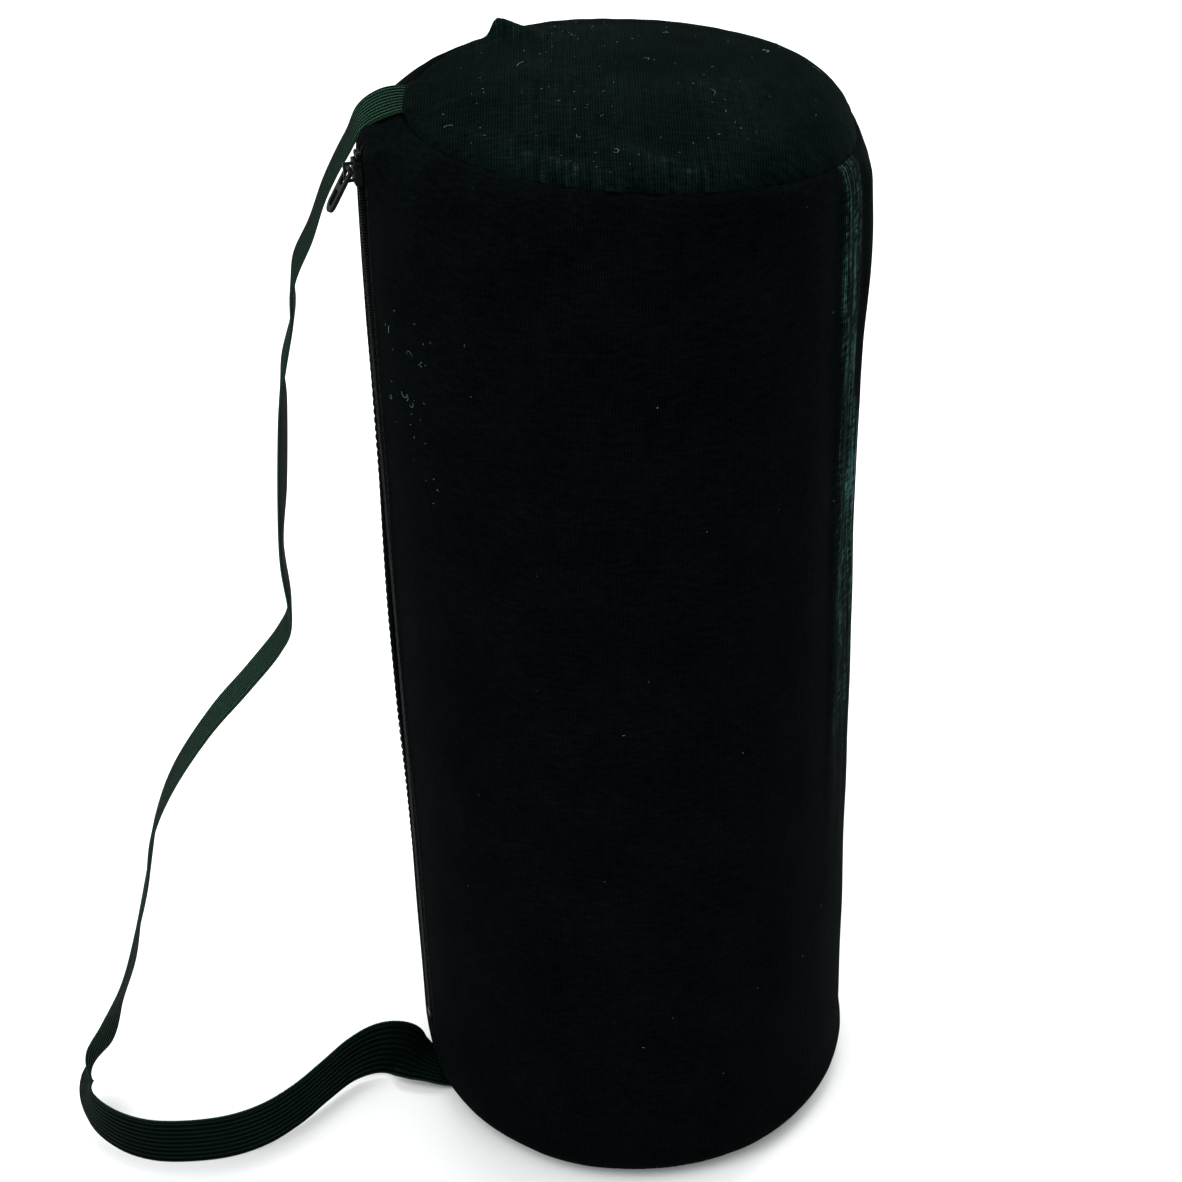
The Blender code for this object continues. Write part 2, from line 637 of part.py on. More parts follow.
def main():
    clear_scene()
    cloth = material("cover_fabric", FABRIC_BLACK, 0.9)
    lining = material("lining_fabric", LINING_BLACK, 0.8)
    foam = material("foam", FOAM_GREY, 0.95)
    binding = material("binding_tape", LINING_BLACK, 0.7)
    board = material("board", BOARD_GREY, 0.6)
    webbing = material("webbing", WEBBING_BLACK, 0.6)
    tape = material("zip_tape", ZIP_BLACK, 0.8)
    coil = material("zip_coil", ZIP_BLACK, 0.4)
    metal = material("zip_metal", SLIDER_BLACK, 0.35, 0.6)
    base_parts(cloth, lining, foam, board)
    wall_cover(cloth)
    wall_foam(foam)
    wall_lining(lining)
    top_parts(cloth, lining, foam)
    binding_radius = LINING_INNER - GAP - BINDING
    low = CAVITY_LOW + GAP
    ring_band("base_seam_binding", binding, binding_radius, low, low + BINDING_HEIGHT)
    high = WALL_LINING_HIGH - GAP
    ring_band("top_seam_binding", binding, binding_radius, high - BINDING_HEIGHT, high)
    front_edge_parts(cloth, lining, foam)
    zip_parts(tape, coil, metal)
    shoulder_strap(webbing)


main()
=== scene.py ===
"""Looks of the drum stick bag: ribbed black jersey over foam, a coil zip, and a webbing shoulder strap.

Metres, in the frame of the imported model: +Z up, the zip and the strap on the -X side. Azimuths count from +X
towards +Y. Cloth coordinates, used by the weaves, are in metres too and are kept in each mesh's UV layer.
"""
import math
import random
from contextlib import contextmanager

import bmesh
import bpy
from mathutils import Matrix, Vector, noise


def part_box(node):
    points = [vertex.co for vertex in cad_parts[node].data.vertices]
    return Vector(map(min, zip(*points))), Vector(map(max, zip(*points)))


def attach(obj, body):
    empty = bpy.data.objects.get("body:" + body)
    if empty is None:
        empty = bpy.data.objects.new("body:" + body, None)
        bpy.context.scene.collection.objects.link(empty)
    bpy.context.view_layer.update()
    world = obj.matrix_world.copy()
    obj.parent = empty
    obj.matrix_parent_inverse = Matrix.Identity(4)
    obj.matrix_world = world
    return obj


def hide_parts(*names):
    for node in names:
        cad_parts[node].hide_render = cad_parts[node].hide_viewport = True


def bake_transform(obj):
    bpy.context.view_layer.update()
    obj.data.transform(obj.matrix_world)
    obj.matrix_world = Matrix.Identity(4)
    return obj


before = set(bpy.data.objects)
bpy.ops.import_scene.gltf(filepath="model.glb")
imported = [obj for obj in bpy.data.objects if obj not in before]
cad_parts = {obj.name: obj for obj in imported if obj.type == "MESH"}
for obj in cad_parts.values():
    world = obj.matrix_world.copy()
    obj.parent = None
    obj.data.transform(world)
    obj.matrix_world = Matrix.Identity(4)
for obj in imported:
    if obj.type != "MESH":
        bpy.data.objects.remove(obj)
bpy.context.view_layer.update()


def radii(node):
    """Least and greatest distance of a CAD node's points from the bag's axis."""
    reach = [math.hypot(v.co.x, v.co.y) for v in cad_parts[node].data.vertices]
    return min(reach), max(reach)


# The outer skin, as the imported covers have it
BAG_RADIUS = radii("front_edge_cover")[1]
TOTAL_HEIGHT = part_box("top_cover")[1].z
CROWN = 0.006
SHOULDER_RADIUS = 0.026
FOOT_RADIUS = 0.016
SHOULDER_TOP = TOTAL_HEIGHT - CROWN
SHOULDER_BASE = SHOULDER_TOP - SHOULDER_RADIUS
SHOULDER_AXIS = BAG_RADIUS - SHOULDER_RADIUS
FOOT_AXIS = BAG_RADIUS - FOOT_RADIUS
FOAM_INNER, FOAM_OUTER = radii("front_edge_foam")
LINING_OUTER = radii("front_edge_lining")[1]

# Seams
TOP_SEAM_RADIUS = 0.0847
TOP_SEAM_SHIFT = 0.0092
BASE_SEAM_RADIUS = 0.085

# Zip
ZIP_AZIMUTH = math.radians(196)
ZIP_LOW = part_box("zip_bottom_stop")[0].z
ZIP_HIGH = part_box("rear_zip_top_stop")[1].z
COVER_SLIT = 0.005
TAPE_INNER, TAPE_OUTER = radii("front_zip_tape")
TAPE_EDGE = 0.0009
TAPE_WIDTH = 0.012
COIL_INNER, COIL_OUTER = radii("front_zip_coil")
COIL_PITCH = 0.00118
WIRE_RADIUS = 0.00029

# Shoulder strap, with the direction that the webbing's width has at each point
STRAP_WIDTH = 0.025
STRAP_THICKNESS = 0.0016
STRAP_RIBS = 10
STRAP_ROUTE = (
    ((-0.0756, 0, 0.4655), (-0.18, 0.97, 0.03)),
    ((-0.0812, 0, 0.4639), (-0.16, 0.97, 0.03)),
    ((-0.0868, 0, 0.4601), (-0.12, 0.99, 0.04)),
    ((-0.0921, 0, 0.4543), (-0.1, 0.99, 0.04)),
    ((-0.0962, 0, 0.4468), (-0.06, 1, 0.03)),
    ((-0.1012, 0, 0.4385), (-0.06, 1, 0)),
    ((-0.1072, -0.0004, 0.427), (-0.06, 1, 0)),
    ((-0.1132, -0.001, 0.4122), (-0.08, 1, 0)),
    ((-0.1198, -0.0018, 0.3995), (-0.1, 1, 0)),
    ((-0.1222, -0.0026, 0.39), (-0.06, 1, 0)),
    ((-0.1232, -0.0036, 0.377), (-0.03, 1, 0)),
    ((-0.1288, -0.0054, 0.356), (-0.09, 1, 0)),
    ((-0.1305, -0.0066, 0.338), (0.02, 1, 0)),
    ((-0.134, -0.008, 0.302), (0.03, 1, 0)),
    ((-0.1365, -0.0105, 0.276), (-0.08, 1, 0)),
    ((-0.1355, -0.0125, 0.25), (-0.1, 1, 0)),
    ((-0.141, -0.014, 0.237), (-0.05, 1, 0)),
    ((-0.156, -0.016, 0.219), (0, 1, 0.02)),
    ((-0.173, -0.018, 0.2), (0, 1, 0.02)),
    ((-0.191, -0.02, 0.174), (-0.02, 1, 0)),
    ((-0.202, -0.022, 0.15), (0, 1, 0)),
    ((-0.208, -0.024, 0.124), (-0.06, 1, 0)),
    ((-0.216, -0.0255, 0.096), (0, 1, 0)),
    ((-0.223, -0.027, 0.072), (0.15, 0.99, 0)),
    ((-0.2325, -0.029, 0.051), (0.35, 0.92, 0.15)),
    ((-0.24, -0.032, 0.034), (0.5, 0.7, 0.5)),
    ((-0.2465, -0.039, 0.0205), (0.3, 0.3, 0.9)),
    ((-0.2435, -0.051, 0.0145), (0.05, 0, 1)),
    ((-0.231, -0.063, 0.013), (0, 0, 1)),
    ((-0.215, -0.0705, 0.013), (0, 0, 1)),
    ((-0.197, -0.072, 0.013), (0, 0, 1)),
    ((-0.179, -0.0695, 0.013), (0, 0, 1)),
    ((-0.164, -0.0625, 0.013), (0, 0, 1)),
    ((-0.151, -0.0515, 0.0135), (0, 0, 1)),
    ((-0.14, -0.039, 0.0145), (0, 0, 1)),
    ((-0.129, -0.0265, 0.015), (0, 0.08, 1)),
    ((-0.1175, -0.019, 0.0145), (-0.04, 0.26, 0.96)),
    ((-0.107, -0.0178, 0.0128), (-0.1, 0.56, 0.8)),
    ((-0.099, -0.019, 0.0078), (-0.17, 0.9, 0.38)),
    ((-0.0915, -0.0204, 0.0036), (-0.21, 0.97, 0.02)),
)

CLOTH_THICKNESS = 0.0012
PINCH_PEAK = (-0.04, 0.065)

# Folds that leave the pinched peak of the top: where each ends, its height, and its width at both ends
PINCH_FOLDS = (
    ((-0.002, 0.02), 0.0044, 0.0042, 0.0085),
    ((0.018, 0.048), 0.0012, 0.0036, 0.006),
)

# Low rolls in the top's cloth: start, end, height, width
CREASES = (
    ((-0.033, -0.06), (-0.006, -0.079), 0.0011, 0.0028),
    ((-0.023, -0.055), (-0.007, -0.07), -0.0006, 0.0026),
    ((0, -0.062), (0.028, -0.077), 0.0009, 0.0032),
    ((0.01, -0.079), (0.048, -0.074), 0.0005, 0.0025),
    ((-0.067, -0.015), (-0.046, -0.01), 0.0008, 0.003),
    ((-0.056, -0.034), (-0.04, -0.053), 0.0006, 0.003),
)

# The webbing's ends, inside the seams
SEWN_TOP = (((-0.0715, 0.0000, 0.4643), (-0.18, 0.97, 0.03)),)
SEWN_FOOT = (
    ((-0.0868, -0.0198, 0.002), (-0.21, 0.97, 0)),
    ((-0.0825, -0.0187, 0.0017), (-0.21, 0.97, 0)),
)

# Upright folds of the loose side: azimuth in radians, height
SIDE_FOLDS = (
    (-0.7, 0),
    (-0.55, -0.0008),
    (-0.48, 0.0008),
    (-0.42, 0.0001),
    (-0.36, 0.0006),
    (-0.29, -0.0012),
    (-0.2, 0.001),
    (-0.06, 0.0004),
    (0.25, 0),
)
RIM_REACH = 0.075
FOOT_LEAN = 0.0018

FLOOR_REACH = 60
LINT_COLOUR = (0.10, 0.14, 0.13)

# Grid of the outer cloth
COLUMNS = 320
FOOT_ROWS = 10
WALL_ROWS = 170
SHOULDER_ROWS = 26


# ---- camera, stage


def make_camera():
    """Stands in front of the bag and looks down on it by about 32 degrees."""
    place = Vector((-0.0124, -0.8502, 0.7845))
    elevation = math.radians(32.34)
    roll = math.radians(-2.0165)
    forward = Vector((0, math.cos(elevation), -math.sin(elevation)))
    right = Vector((1, 0, 0))
    up = right.cross(forward)
    tilted_right = math.cos(roll) * right + math.sin(roll) * up
    tilted_up = -math.sin(roll) * right + math.cos(roll) * up
    data = bpy.data.cameras.new("camera")
    data.sensor_width = 36
    data.lens = 74.1
    camera = placed("camera", data)
    turn = Matrix((tilted_right, tilted_up, -forward)).transposed().to_4x4()
    camera.matrix_world = Matrix.Translation(place) @ turn
    bpy.context.scene.camera = camera


def area_light(name, place, target, size, power):
    data = bpy.data.lights.new(name, "AREA")
    data.shape = "RECTANGLE"
    data.size = size[0]
    data.size_y = size[1]
    data.energy = power
    light = placed(name, data)
    light.location = place
    light.rotation_euler = (Vector(target) - Vector(place)).to_track_quat("-Z", "Y").to_euler()


def make_stage():
    finish, shader, tree = new_material("pale_floor", (0.92, 0.93, 0.93), 0.75)
    feed(tree, shader, Specular_IOR_Level=0.2)
    corners = [(x * FLOOR_REACH, y * FLOOR_REACH, 0) for x, y in ((-1, -1), (1, -1), (1, 1), (-1, 1))]
    mesh_object("floor", corners, [(0, 1, 2, 3)], None, finish)
    world = bpy.data.worlds.new("studio")
    world.use_nodes = True
    feed(world.node_tree, world.node_tree.nodes["Background"], Color=(1, 1, 1, 1), Strength=1.0)
    bpy.context.scene.world = world
    bpy.context.scene.view_settings.view_transform = "Standard"
    area_light("key", (-0.9, -0.9, 1.9), (0, 0, 0.25), (1.2, 1.2), 20)
    area_light("top", (0.1, 0.7, 2.0), (0, 0, 0.4), (1.4, 1.0), 24)
    area_light("rim", (1.15, 1.15, 0.9), (0, 0, 0.3), (0.4, 0.9), 9)


# ---- materials


def feed(tree, made, **inputs):
    """Sets inputs of a node to numbers, colours or sockets; an underscore stands for a space in a name."""
    for name, value in inputs.items():
        socket = made.inputs[name.replace("_", " ")]
        if isinstance(value, bpy.types.NodeSocket):
            tree.links.new(value, socket)
        else:
            socket.default_value = value


def node(tree, kind, **inputs):
    made = tree.nodes.new(kind)
    feed(tree, made, **inputs)
    return made


def new_material(name, colour, roughness):
    made = bpy.data.materials.new(name)
    made.use_nodes = True
    shader = made.node_tree.nodes["Principled BSDF"]
    feed(made.node_tree, shader, Base_Color=(*colour, 1), Roughness=roughness)
    return made, shader, made.node_tree


def maths(tree, operation, a, b=0.0, c=0.0):
    """A Math node; a, b and c are numbers or sockets."""
    made = tree.nodes.new("ShaderNodeMath")
    made.operation = operation
    for socket, value in zip(made.inputs, (a, b, c)):
        if isinstance(value, bpy.types.NodeSocket):
            tree.links.new(value, socket)
        else:
            socket.default_value = value
    return made.outputs[0]


def scaled(tree, value, factor, more=0.0):
    """value times factor, plus more."""
    return maths(tree, "MULTIPLY_ADD", value, factor, more)


def cloth_place(tree):
    """The cloth coordinates of a point: along and across, in metres, and the pair as a vector."""
    uv = tree.nodes.new("ShaderNodeUVMap")
    uv.uv_map = "cloth"
    parts = node(tree, "ShaderNodeSeparateXYZ", Vector=uv.outputs[0])
    return parts.outputs[0], parts.outputs[1], uv.outputs[0]


def object_place(tree):
    return node(tree, "ShaderNodeTexCoord").outputs["Object"]


def stretched(tree, vector, along, across):
    """The cloth coordinates scaled along and across, for grain that is longer one way."""
    return node(tree, "ShaderNodeMapping", Scale=(along, across, 1.0), Vector=vector).outputs[0]


def noise_at(tree, vector, scale, detail=2.0, roughness=0.5):
    inputs = {"Scale": scale, "Detail": detail, "Roughness": roughness, "Vector": vector}
    return node(tree, "ShaderNodeTexNoise", **inputs).outputs["Fac"]


def colour_ramp(tree, factor, stops):
    ramp = node(tree, "ShaderNodeValToRGB", Fac=factor)
    elements = ramp.color_ramp.elements
    while len(elements) < len(stops):
        elements.new(0.5)
    for element, (place, colour) in zip(elements, stops):
        element.position = place
        element.color = (*colour, 1)
    return ramp.outputs[0]


def coloured(tree, shader, factor, *stops):
    """Base colour from a ramp of (place, colour) stops."""
    feed(tree, shader, Base_Color=colour_ramp(tree, factor, stops))


def bump(tree, shader, height, distance, strength=1.0):
    made = node(tree, "ShaderNodeBump", Strength=strength, Distance=distance, Height=height)
    feed(tree, shader, Normal=made.outputs[0])


def mixed(tree, factor, base, colour):
    """base with a plain colour laid over it by factor."""
    mix = tree.nodes.new("ShaderNodeMix")
    mix.data_type = "RGBA"
    feed(tree, mix, Factor=factor, A=base, B=(*colour, 1))
    return mix.outputs["Result"]


def wave(tree, coordinate, pitch, phase=0.0):
    """A wave from 0 to 1 that repeats each pitch along a coordinate in metres."""
    turn = scaled(tree, coordinate, math.tau / pitch, phase)
    return scaled(tree, maths(tree, "SINE", turn), 0.5, 0.5)


def jersey(name, dark, light, pale_tone):
    """Cotton jersey: wales, stitches across, heathered yarn, specks of lint; paler, in streaks, where a point
    attribute holds painted highlights and pale patches.
    """
    made, shader, tree = new_material(name, dark, 0.92)
    along, up, place = cloth_place(tree)
    wander = noise_at(tree, place, 160.0, 2.0)
    wales = wave(tree, scaled(tree, wander, 0.0007, along), 0.00105)
    courses = wave(tree, scaled(tree, wander, 0.0009, up), 0.00085)
    knit = scaled(tree, wales, scaled(tree, courses, 0.5, 0.5))
    yarn = noise_at(tree, place, 1100.0, 2.0, 0.7)
    heather = noise_at(tree, stretched(tree, place, 0.35, 1.0), 520.0, 3.0, 0.7)
    cloudy = noise_at(tree, place, 30.0, 4.0, 0.6)
    tone = scaled(tree, knit, 0.22, scaled(tree, yarn, 0.28))
    tone = scaled(tree, heather, 0.45, tone)
    tone = scaled(tree, cloudy, 0.25, tone)
    # Painted highlight: a point attribute lifts the tone in streaks up to the palest colour. It paints the
    # highlight on the +X fold's flank and on the crests of the top's folds, and pale patches elsewhere.
    paleness_and_highlight = tree.nodes.new("ShaderNodeAttribute")
    paleness_and_highlight.attribute_name = "paleness_and_highlight"
    streak = noise_at(tree, stretched(tree, place, 1.0, 0.05), 620.0, 2.0, 0.6)
    lightening = scaled(tree, streak, 1.3, scaled(tree, heather, 0.5, -0.62))
    tone = scaled(tree, paleness_and_highlight.outputs["Fac"], lightening, tone)
    base = colour_ramp(tree, tone, ((0.44, dark), (0.80, light), (1.0, pale_tone)))
    specks = node(tree, "ShaderNodeTexVoronoi", Scale=150.0, Vector=place)
    near = maths(tree, "LESS_THAN", specks.outputs["Distance"], 0.05)
    few = maths(tree, "GREATER_THAN", noise_at(tree, place, 55.0), 0.66)
    spot = scaled(tree, scaled(tree, near, few), 0.6)
    feed(tree, shader, Base_Color=mixed(tree, spot, base, LINT_COLOUR), Specular_IOR_Level=0.005)
    feed(tree, shader, Sheen_Weight=0.003, Sheen_Roughness=0.4, Sheen_Tint=(0.40, 0.90, 0.85, 1))
    bump(tree, shader, scaled(tree, yarn, 0.8, knit), 0.00025, 0.9)
    return made


def woven(name, dark, light, pitch, roughness, sheen=0.004, specular=0.03):
    """A fine plain weave, for tapes, lining and bindings."""
    made, shader, tree = new_material(name, dark, roughness)
    along, up, place = cloth_place(tree)
    warp = wave(tree, maths(tree, "ADD", along, up), pitch)
    weft = wave(tree, maths(tree, "SUBTRACT", along, up), pitch)
    weave = scaled(tree, warp, weft)
    fuzz = noise_at(tree, place, 1500.0, 2.0)
    tone = scaled(tree, weave, 0.6, scaled(tree, fuzz, 0.4))
    coloured(tree, shader, tone, (0.1, dark), (0.9, light))
    feed(tree, shader, Sheen_Weight=sheen, Specular_IOR_Level=specular)
    bump(tree, shader, weave, 0.00012, 0.8)
    return made


def webbing_material():
    """Ribbed polypropylene webbing: the ribs are in the mesh, the crossing yarns are here. The edges are
    painted pale green as highlights, and the sheen is painted stronger on the hanging stretch than on the
    floor.
    """
    made, shader, tree = new_material("webbing", (0.002, 0.004, 0.003), 0.5)
    along, across, place = cloth_place(tree)
    yarns = wave(tree, scaled(tree, across, 0.9, along), 0.0013)
    ribs = wave(tree, across, STRAP_WIDTH / STRAP_RIBS, math.pi)
    fuzz = noise_at(tree, place, 900.0, 3.0, 0.6)
    pale_tone = noise_at(tree, place, 60.0, 3.0)
    tone = scaled(tree, yarns, 0.35, scaled(tree, fuzz, 0.25))
    tone = scaled(tree, ribs, 0.25, tone)
    tone = scaled(tree, pale_tone, 0.25, tone)
    body = colour_ramp(tree, tone, ((0.36, (0.0001, 0.0002, 0.0002)), (0.74, (0.0024, 0.0056, 0.0040))))
    # Painted highlight: pale green along both edges of the webbing, standing in for rim light on its thin
    # edges.
    painted_edge_highlight = maths(tree, "GREATER_THAN", maths(tree, "ABSOLUTE", across), 0.0119)
    edge = scaled(tree, painted_edge_highlight, scaled(tree, fuzz, 0.8, 0.2))
    feed(tree, shader, Base_Color=mixed(tree, edge, body, (0.012, 0.040, 0.024)))
    feed(tree, shader, Roughness=scaled(tree, fuzz, 0.25, 0.42), Specular_IOR_Level=0.008)
    crest = scaled(tree, maths(tree, "POWER", ribs, 1.3), scaled(tree, yarns, 0.8, 0.2))
    # Painted sheen: strong along the hanging stretch and weak where the strap lies on the floor, by distance
    # along the strap.
    painted_sheen_along_strap = colour_ramp(tree, along, ((0.40, (0.46, 0.46, 0.46)), (0.54, (0.10, 0.10, 0.10))))
    feed(tree, shader, Sheen_Weight=scaled(tree, crest, painted_sheen_along_strap), Sheen_Roughness=0.26)
    feed(tree, shader, Sheen_Tint=(0.26, 1.0, 0.56, 1))
    bump(tree, shader, scaled(tree, ribs, 0.8, yarns), 0.00060, 1.0)
    return made


def hard_material(name, dark, light, roughness):
    """Painted metal or nylon, with fine scuffs and slightly worn colour."""
    made, shader, tree = new_material(name, dark, roughness)
    place = object_place(tree)
    wear = noise_at(tree, place, 420.0, 4.0, 0.65)
    coloured(tree, shader, wear, (0.35, dark), (0.75, light))
    feed(tree, shader, Roughness=scaled(tree, wear, 0.3, roughness - 0.15), Specular_IOR_Level=0.04)
    bump(tree, shader, noise_at(tree, place, 2500.0, 2.0), 0.00003, 0.5)
    return made


def foam_material():
    made, shader, tree = new_material("foam", (0.03, 0.03, 0.031), 0.95)
    cells = node(tree, "ShaderNodeTexVoronoi", Scale=1800.0, Vector=object_place(tree))
    coloured(tree, shader, cells.outputs["Distance"], (0.0, (0.02, 0.02, 0.021)), (1.0, (0.06, 0.06, 0.06)))
    bump(tree, shader, cells.outputs["Distance"], 0.0002, 0.6)
    return made


def lint_material():
    made, shader, tree = new_material("lint", (0.12, 0.17, 0.16), 0.9)
    patches = noise_at(tree, object_place(tree), 140.0)
    coloured(tree, shader, patches, (0.35, (0.012, 0.026, 0.025)), (0.70, (0.17, 0.22, 0.21)))
    return made


def board_material():
    made, shader, tree = new_material("board", (0.05, 0.05, 0.05), 0.6)
    fibres = noise_at(tree, object_place(tree), 300.0, 5.0, 0.7)
    coloured(tree, shader, fibres, (0.3, (0.03, 0.03, 0.03)), (0.7, (0.09, 0.085, 0.08)))
    bump(tree, shader, fibres, 0.0001, 0.6)
    return made


# ---- mesh tools


def smoothstep(x):
    x = min(max(x, 0.0), 1.0)
    return x * x * (3 - 2 * x)


def hump(x, middle, half_width):
    """A smooth rise of height 1 at middle that ends half_width away."""
    return smoothstep(1 - abs(x - middle) / half_width)


def turn_between(a, b):
    """Signed angle from b to a, from minus to plus half a turn."""
    return (a - b + math.pi) % math.tau - math.pi


def drift(x, y, z):
    """Smooth noise, between about -1 and 1."""
    return noise.noise(Vector((x, y, z)))


def polar(radius, azimuth, z):
    return Vector((radius * math.cos(azimuth), radius * math.sin(azimuth), z))


def placed(name, data):
    obj = bpy.data.objects.new(name, data)
    bpy.context.scene.collection.objects.link(obj)
    return obj


def mesh_object(name, verts, faces, uvs, material, smooth=35):
    """uvs holds one pair for each corner of each face, or is None."""
    mesh = bpy.data.meshes.new(name)
    mesh.from_pydata(verts, [], faces)
    if uvs is not None:
        layer = mesh.uv_layers.new(name="cloth")
        for loop, uv in enumerate(uvs):
            layer.data[loop].uv = uv
    mesh.shade_smooth()
    mesh.set_sharp_from_angle(angle=math.radians(smooth))
    mesh.materials.append(material)
    return placed(name, mesh)


@contextmanager
def editing(mesh):
    """The mesh as a bmesh, written back afterwards."""
    bm = bmesh.new()
    bm.from_mesh(mesh)
    yield bm
    bm.to_mesh(mesh)
    bm.free()


def thickened(obj, thickness):
    """Gives an open sheet of cloth its thickness, inwards."""
    modifier = obj.modifiers.new("cloth", "SOLIDIFY")
    modifier.thickness = thickness
    modifier.offset = -1
    bpy.context.view_layer.update()
    mesh = bpy.data.meshes.new_from_object(obj.evaluated_get(bpy.context.evaluated_depsgraph_get()))
    old = obj.data
    obj.modifiers.clear()
    obj.data = mesh
    mesh.name = obj.name
    bpy.data.meshes.remove(old)
    return obj


def grid_sheet(name, points, coords, material, keep=None, ring=False):
    """A sheet from rows of points; coords gives the cloth coordinates at a column and row, columns past the
    last one included, so that a ring's weave runs on over its joint."""
    columns = len(points)
    rows = len(points[0])
    verts = [p for column in points for p in column]
    faces = []
    uvs = []
    for i in range(columns if ring else columns - 1):
        after = (i + 1) % columns
        for j in range(rows - 1):
            if keep is not None and not keep(i, j):
                continue
            faces.append((i * rows + j, after * rows + j, after * rows + j + 1, i * rows + j + 1))
            uvs += [coords(i, j), coords(i + 1, j), coords(i + 1, j + 1), coords(i, j + 1)]
    obj = mesh_object(name, verts, faces, uvs, material)
    with editing(obj.data) as bm:
        bmesh.ops.delete(bm, geom=[v for v in bm.verts if not v.link_faces], context="VERTS")
    return obj


def store_paleness_and_highlight(obj, share):
    """Keeps with each point how far its colour is painted paler: painted highlights and pale patches."""
    layer = obj.data.attributes.new("paleness_and_highlight", "FLOAT", "POINT")
    layer.data.foreach_set("value", [share(v.co) for v in obj.data.vertices])


def bends_open(obj, slot, *nodes):
    """Bakes the piece's transform into its mesh and hides the CAD nodes that it stands in for."""
    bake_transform(obj)
    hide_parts(*nodes)


def rides(obj, body, slot, *nodes):
    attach(obj, body)
    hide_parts(*nodes)


# ---- the outer skin


def top_seam_radius(azimuth):
    across = TOP_SEAM_SHIFT * math.sin(azimuth)
    return TOP_SEAM_SHIFT * math.cos(azimuth) + math.sqrt(TOP_SEAM_RADIUS**2 - across**2)


def top_seam_angle(azimuth):
    return math.acos((top_seam_radius(azimuth) - SHOULDER_AXIS) / SHOULDER_RADIUS)


def top_height(radius):
    reach = radius - SHOULDER_AXIS
    if reach <= 0:
        return SHOULDER_TOP + CROWN * (1 - (radius / SHOULDER_AXIS) ** 2)
    return SHOULDER_BASE + math.sqrt(SHOULDER_RADIUS**2 - reach**2)


BASE_SEAM_ANGLE = math.acos((BASE_SEAM_RADIUS - FOOT_AXIS) / FOOT_RADIUS)


def skin_radius(z, inset=0.0):
    """Distance from the axis of a layer that lies inset under the plain skin."""
    if z > SHOULDER_BASE:
        return SHOULDER_AXIS + math.sqrt(max((SHOULDER_RADIUS - inset) ** 2 - (z - SHOULDER_BASE) ** 2, 0))
    if z < FOOT_RADIUS:
        return FOOT_AXIS + math.sqrt(max((FOOT_RADIUS - inset) ** 2 - (FOOT_RADIUS - z) ** 2, 0))
    return BAG_RADIUS - inset


def zip_lean(z):
    """How far the zip's line bends inwards over the shoulder, above the slider."""
    return -0.0022 * smoothstep((z - 0.4500) / 0.0060)


def zip_stand(z):
    """How far the cloth beside the zip stands out from the plain shoulder to follow the zip."""
    if z < SHOULDER_BASE:
        return 0.0
    top = ZIP_HIGH + 0.0015
    reach = min(z, top)
    stand = BAG_RADIUS + zip_lean(reach) - skin_radius(reach)
    return max(stand, 0) * (1 - smoothstep((z - top) / 0.006))


def pucker(azimuth, distance):
    """Small gathers that run square to the top seam, strongest along the front."""
    strength = 0.25 + 0.9 * hump(turn_between(azimuth, math.radians(252)), 0, 0.55)
    strength += 0.8 * hump(turn_between(azimuth, math.radians(282)), 0, 0.4)
    phase = 46 * azimuth + 4.5 * drift(azimuth * 3.1, 0, 7.7)
    size = 0.6 + 0.8 * drift(azimuth * 5.3, 3.3, 0)
    return 0.00065 * strength * size * math.sin(phase) * math.exp(-distance / 0.0085)


def seam_groove(distance):
    return -0.0011 * math.exp(-(distance / 0.0016) ** 2)


def between(profile, x):
    """A smooth curve through a list of (place, height) pairs, level at each of them."""
    for (a, low), (b, high) in zip(profile, profile[1:]):
        if a <= x < b:
            return low + (high - low) * smoothstep((x - a) / (b - a))
    return 0.0


def fold_reach(z):
    """How far down the upright folds of the +X side reach, from 1 at the top to 0."""
    return smoothstep((z - 0.07) / 0.26) * smoothstep((0.462 - z) / 0.016)


def fold_place(azimuth, z):
    """The azimuth at which the fold of this point starts: the folds waver a little as they go down."""
    return turn_between(azimuth, 0) - 0.016 * drift(z * 13, 1.7, 0)


def side_folds(azimuth, z, to_top_seam):
    """The cloth is loose on the +X side: upright folds that fade downwards under a fuller bulge."""
    side = turn_between(azimuth, 0)
    out = fold_reach(z) * between(SIDE_FOLDS, fold_place(azimuth, z))
    out += 0.00035 * painted_highlight_band(azimuth, z) * drift(azimuth * 75, z * 5, 4)
    bulge = hump(side, 0.12, 0.85)
    out += 0.0032 * bulge * hump(z, 0.407, 0.060) ** 0.7
    out -= 0.0014 * bulge * hump(z, 0.290, 0.075)
    loose = bulge * hump(z, 0.395, 0.09)
    out += 0.0009 * loose * drift(azimuth * 8, z * 34, 2)
    return out * smoothstep(to_top_seam / 0.016)


def painted_highlight_band(azimuth, z):
    """Where the flank of the first fold is painted pale as a highlight, from 0 to 1."""
    place = fold_place(azimuth, z)
    far_side = -0.24 + 0.24 * smoothstep((0.37 - z) / 0.08)
    return fold_reach(z) * smoothstep((place + 0.53) / 0.05) * smoothstep((far_side - place) / 0.14)


def rim_relief(azimuth):
    """How far the ring of the top seam lies off the plain shoulder: low over the zip and on the +X side."""
    low = 0.0020 * hump(turn_between(azimuth, math.pi), 0, 1.2)
    low += 0.0016 * hump(turn_between(azimuth, -0.05), 0, 0.5)
    high = 0.0010 * hump(turn_between(azimuth, 1.85), 0, 0.55)
    return high - low


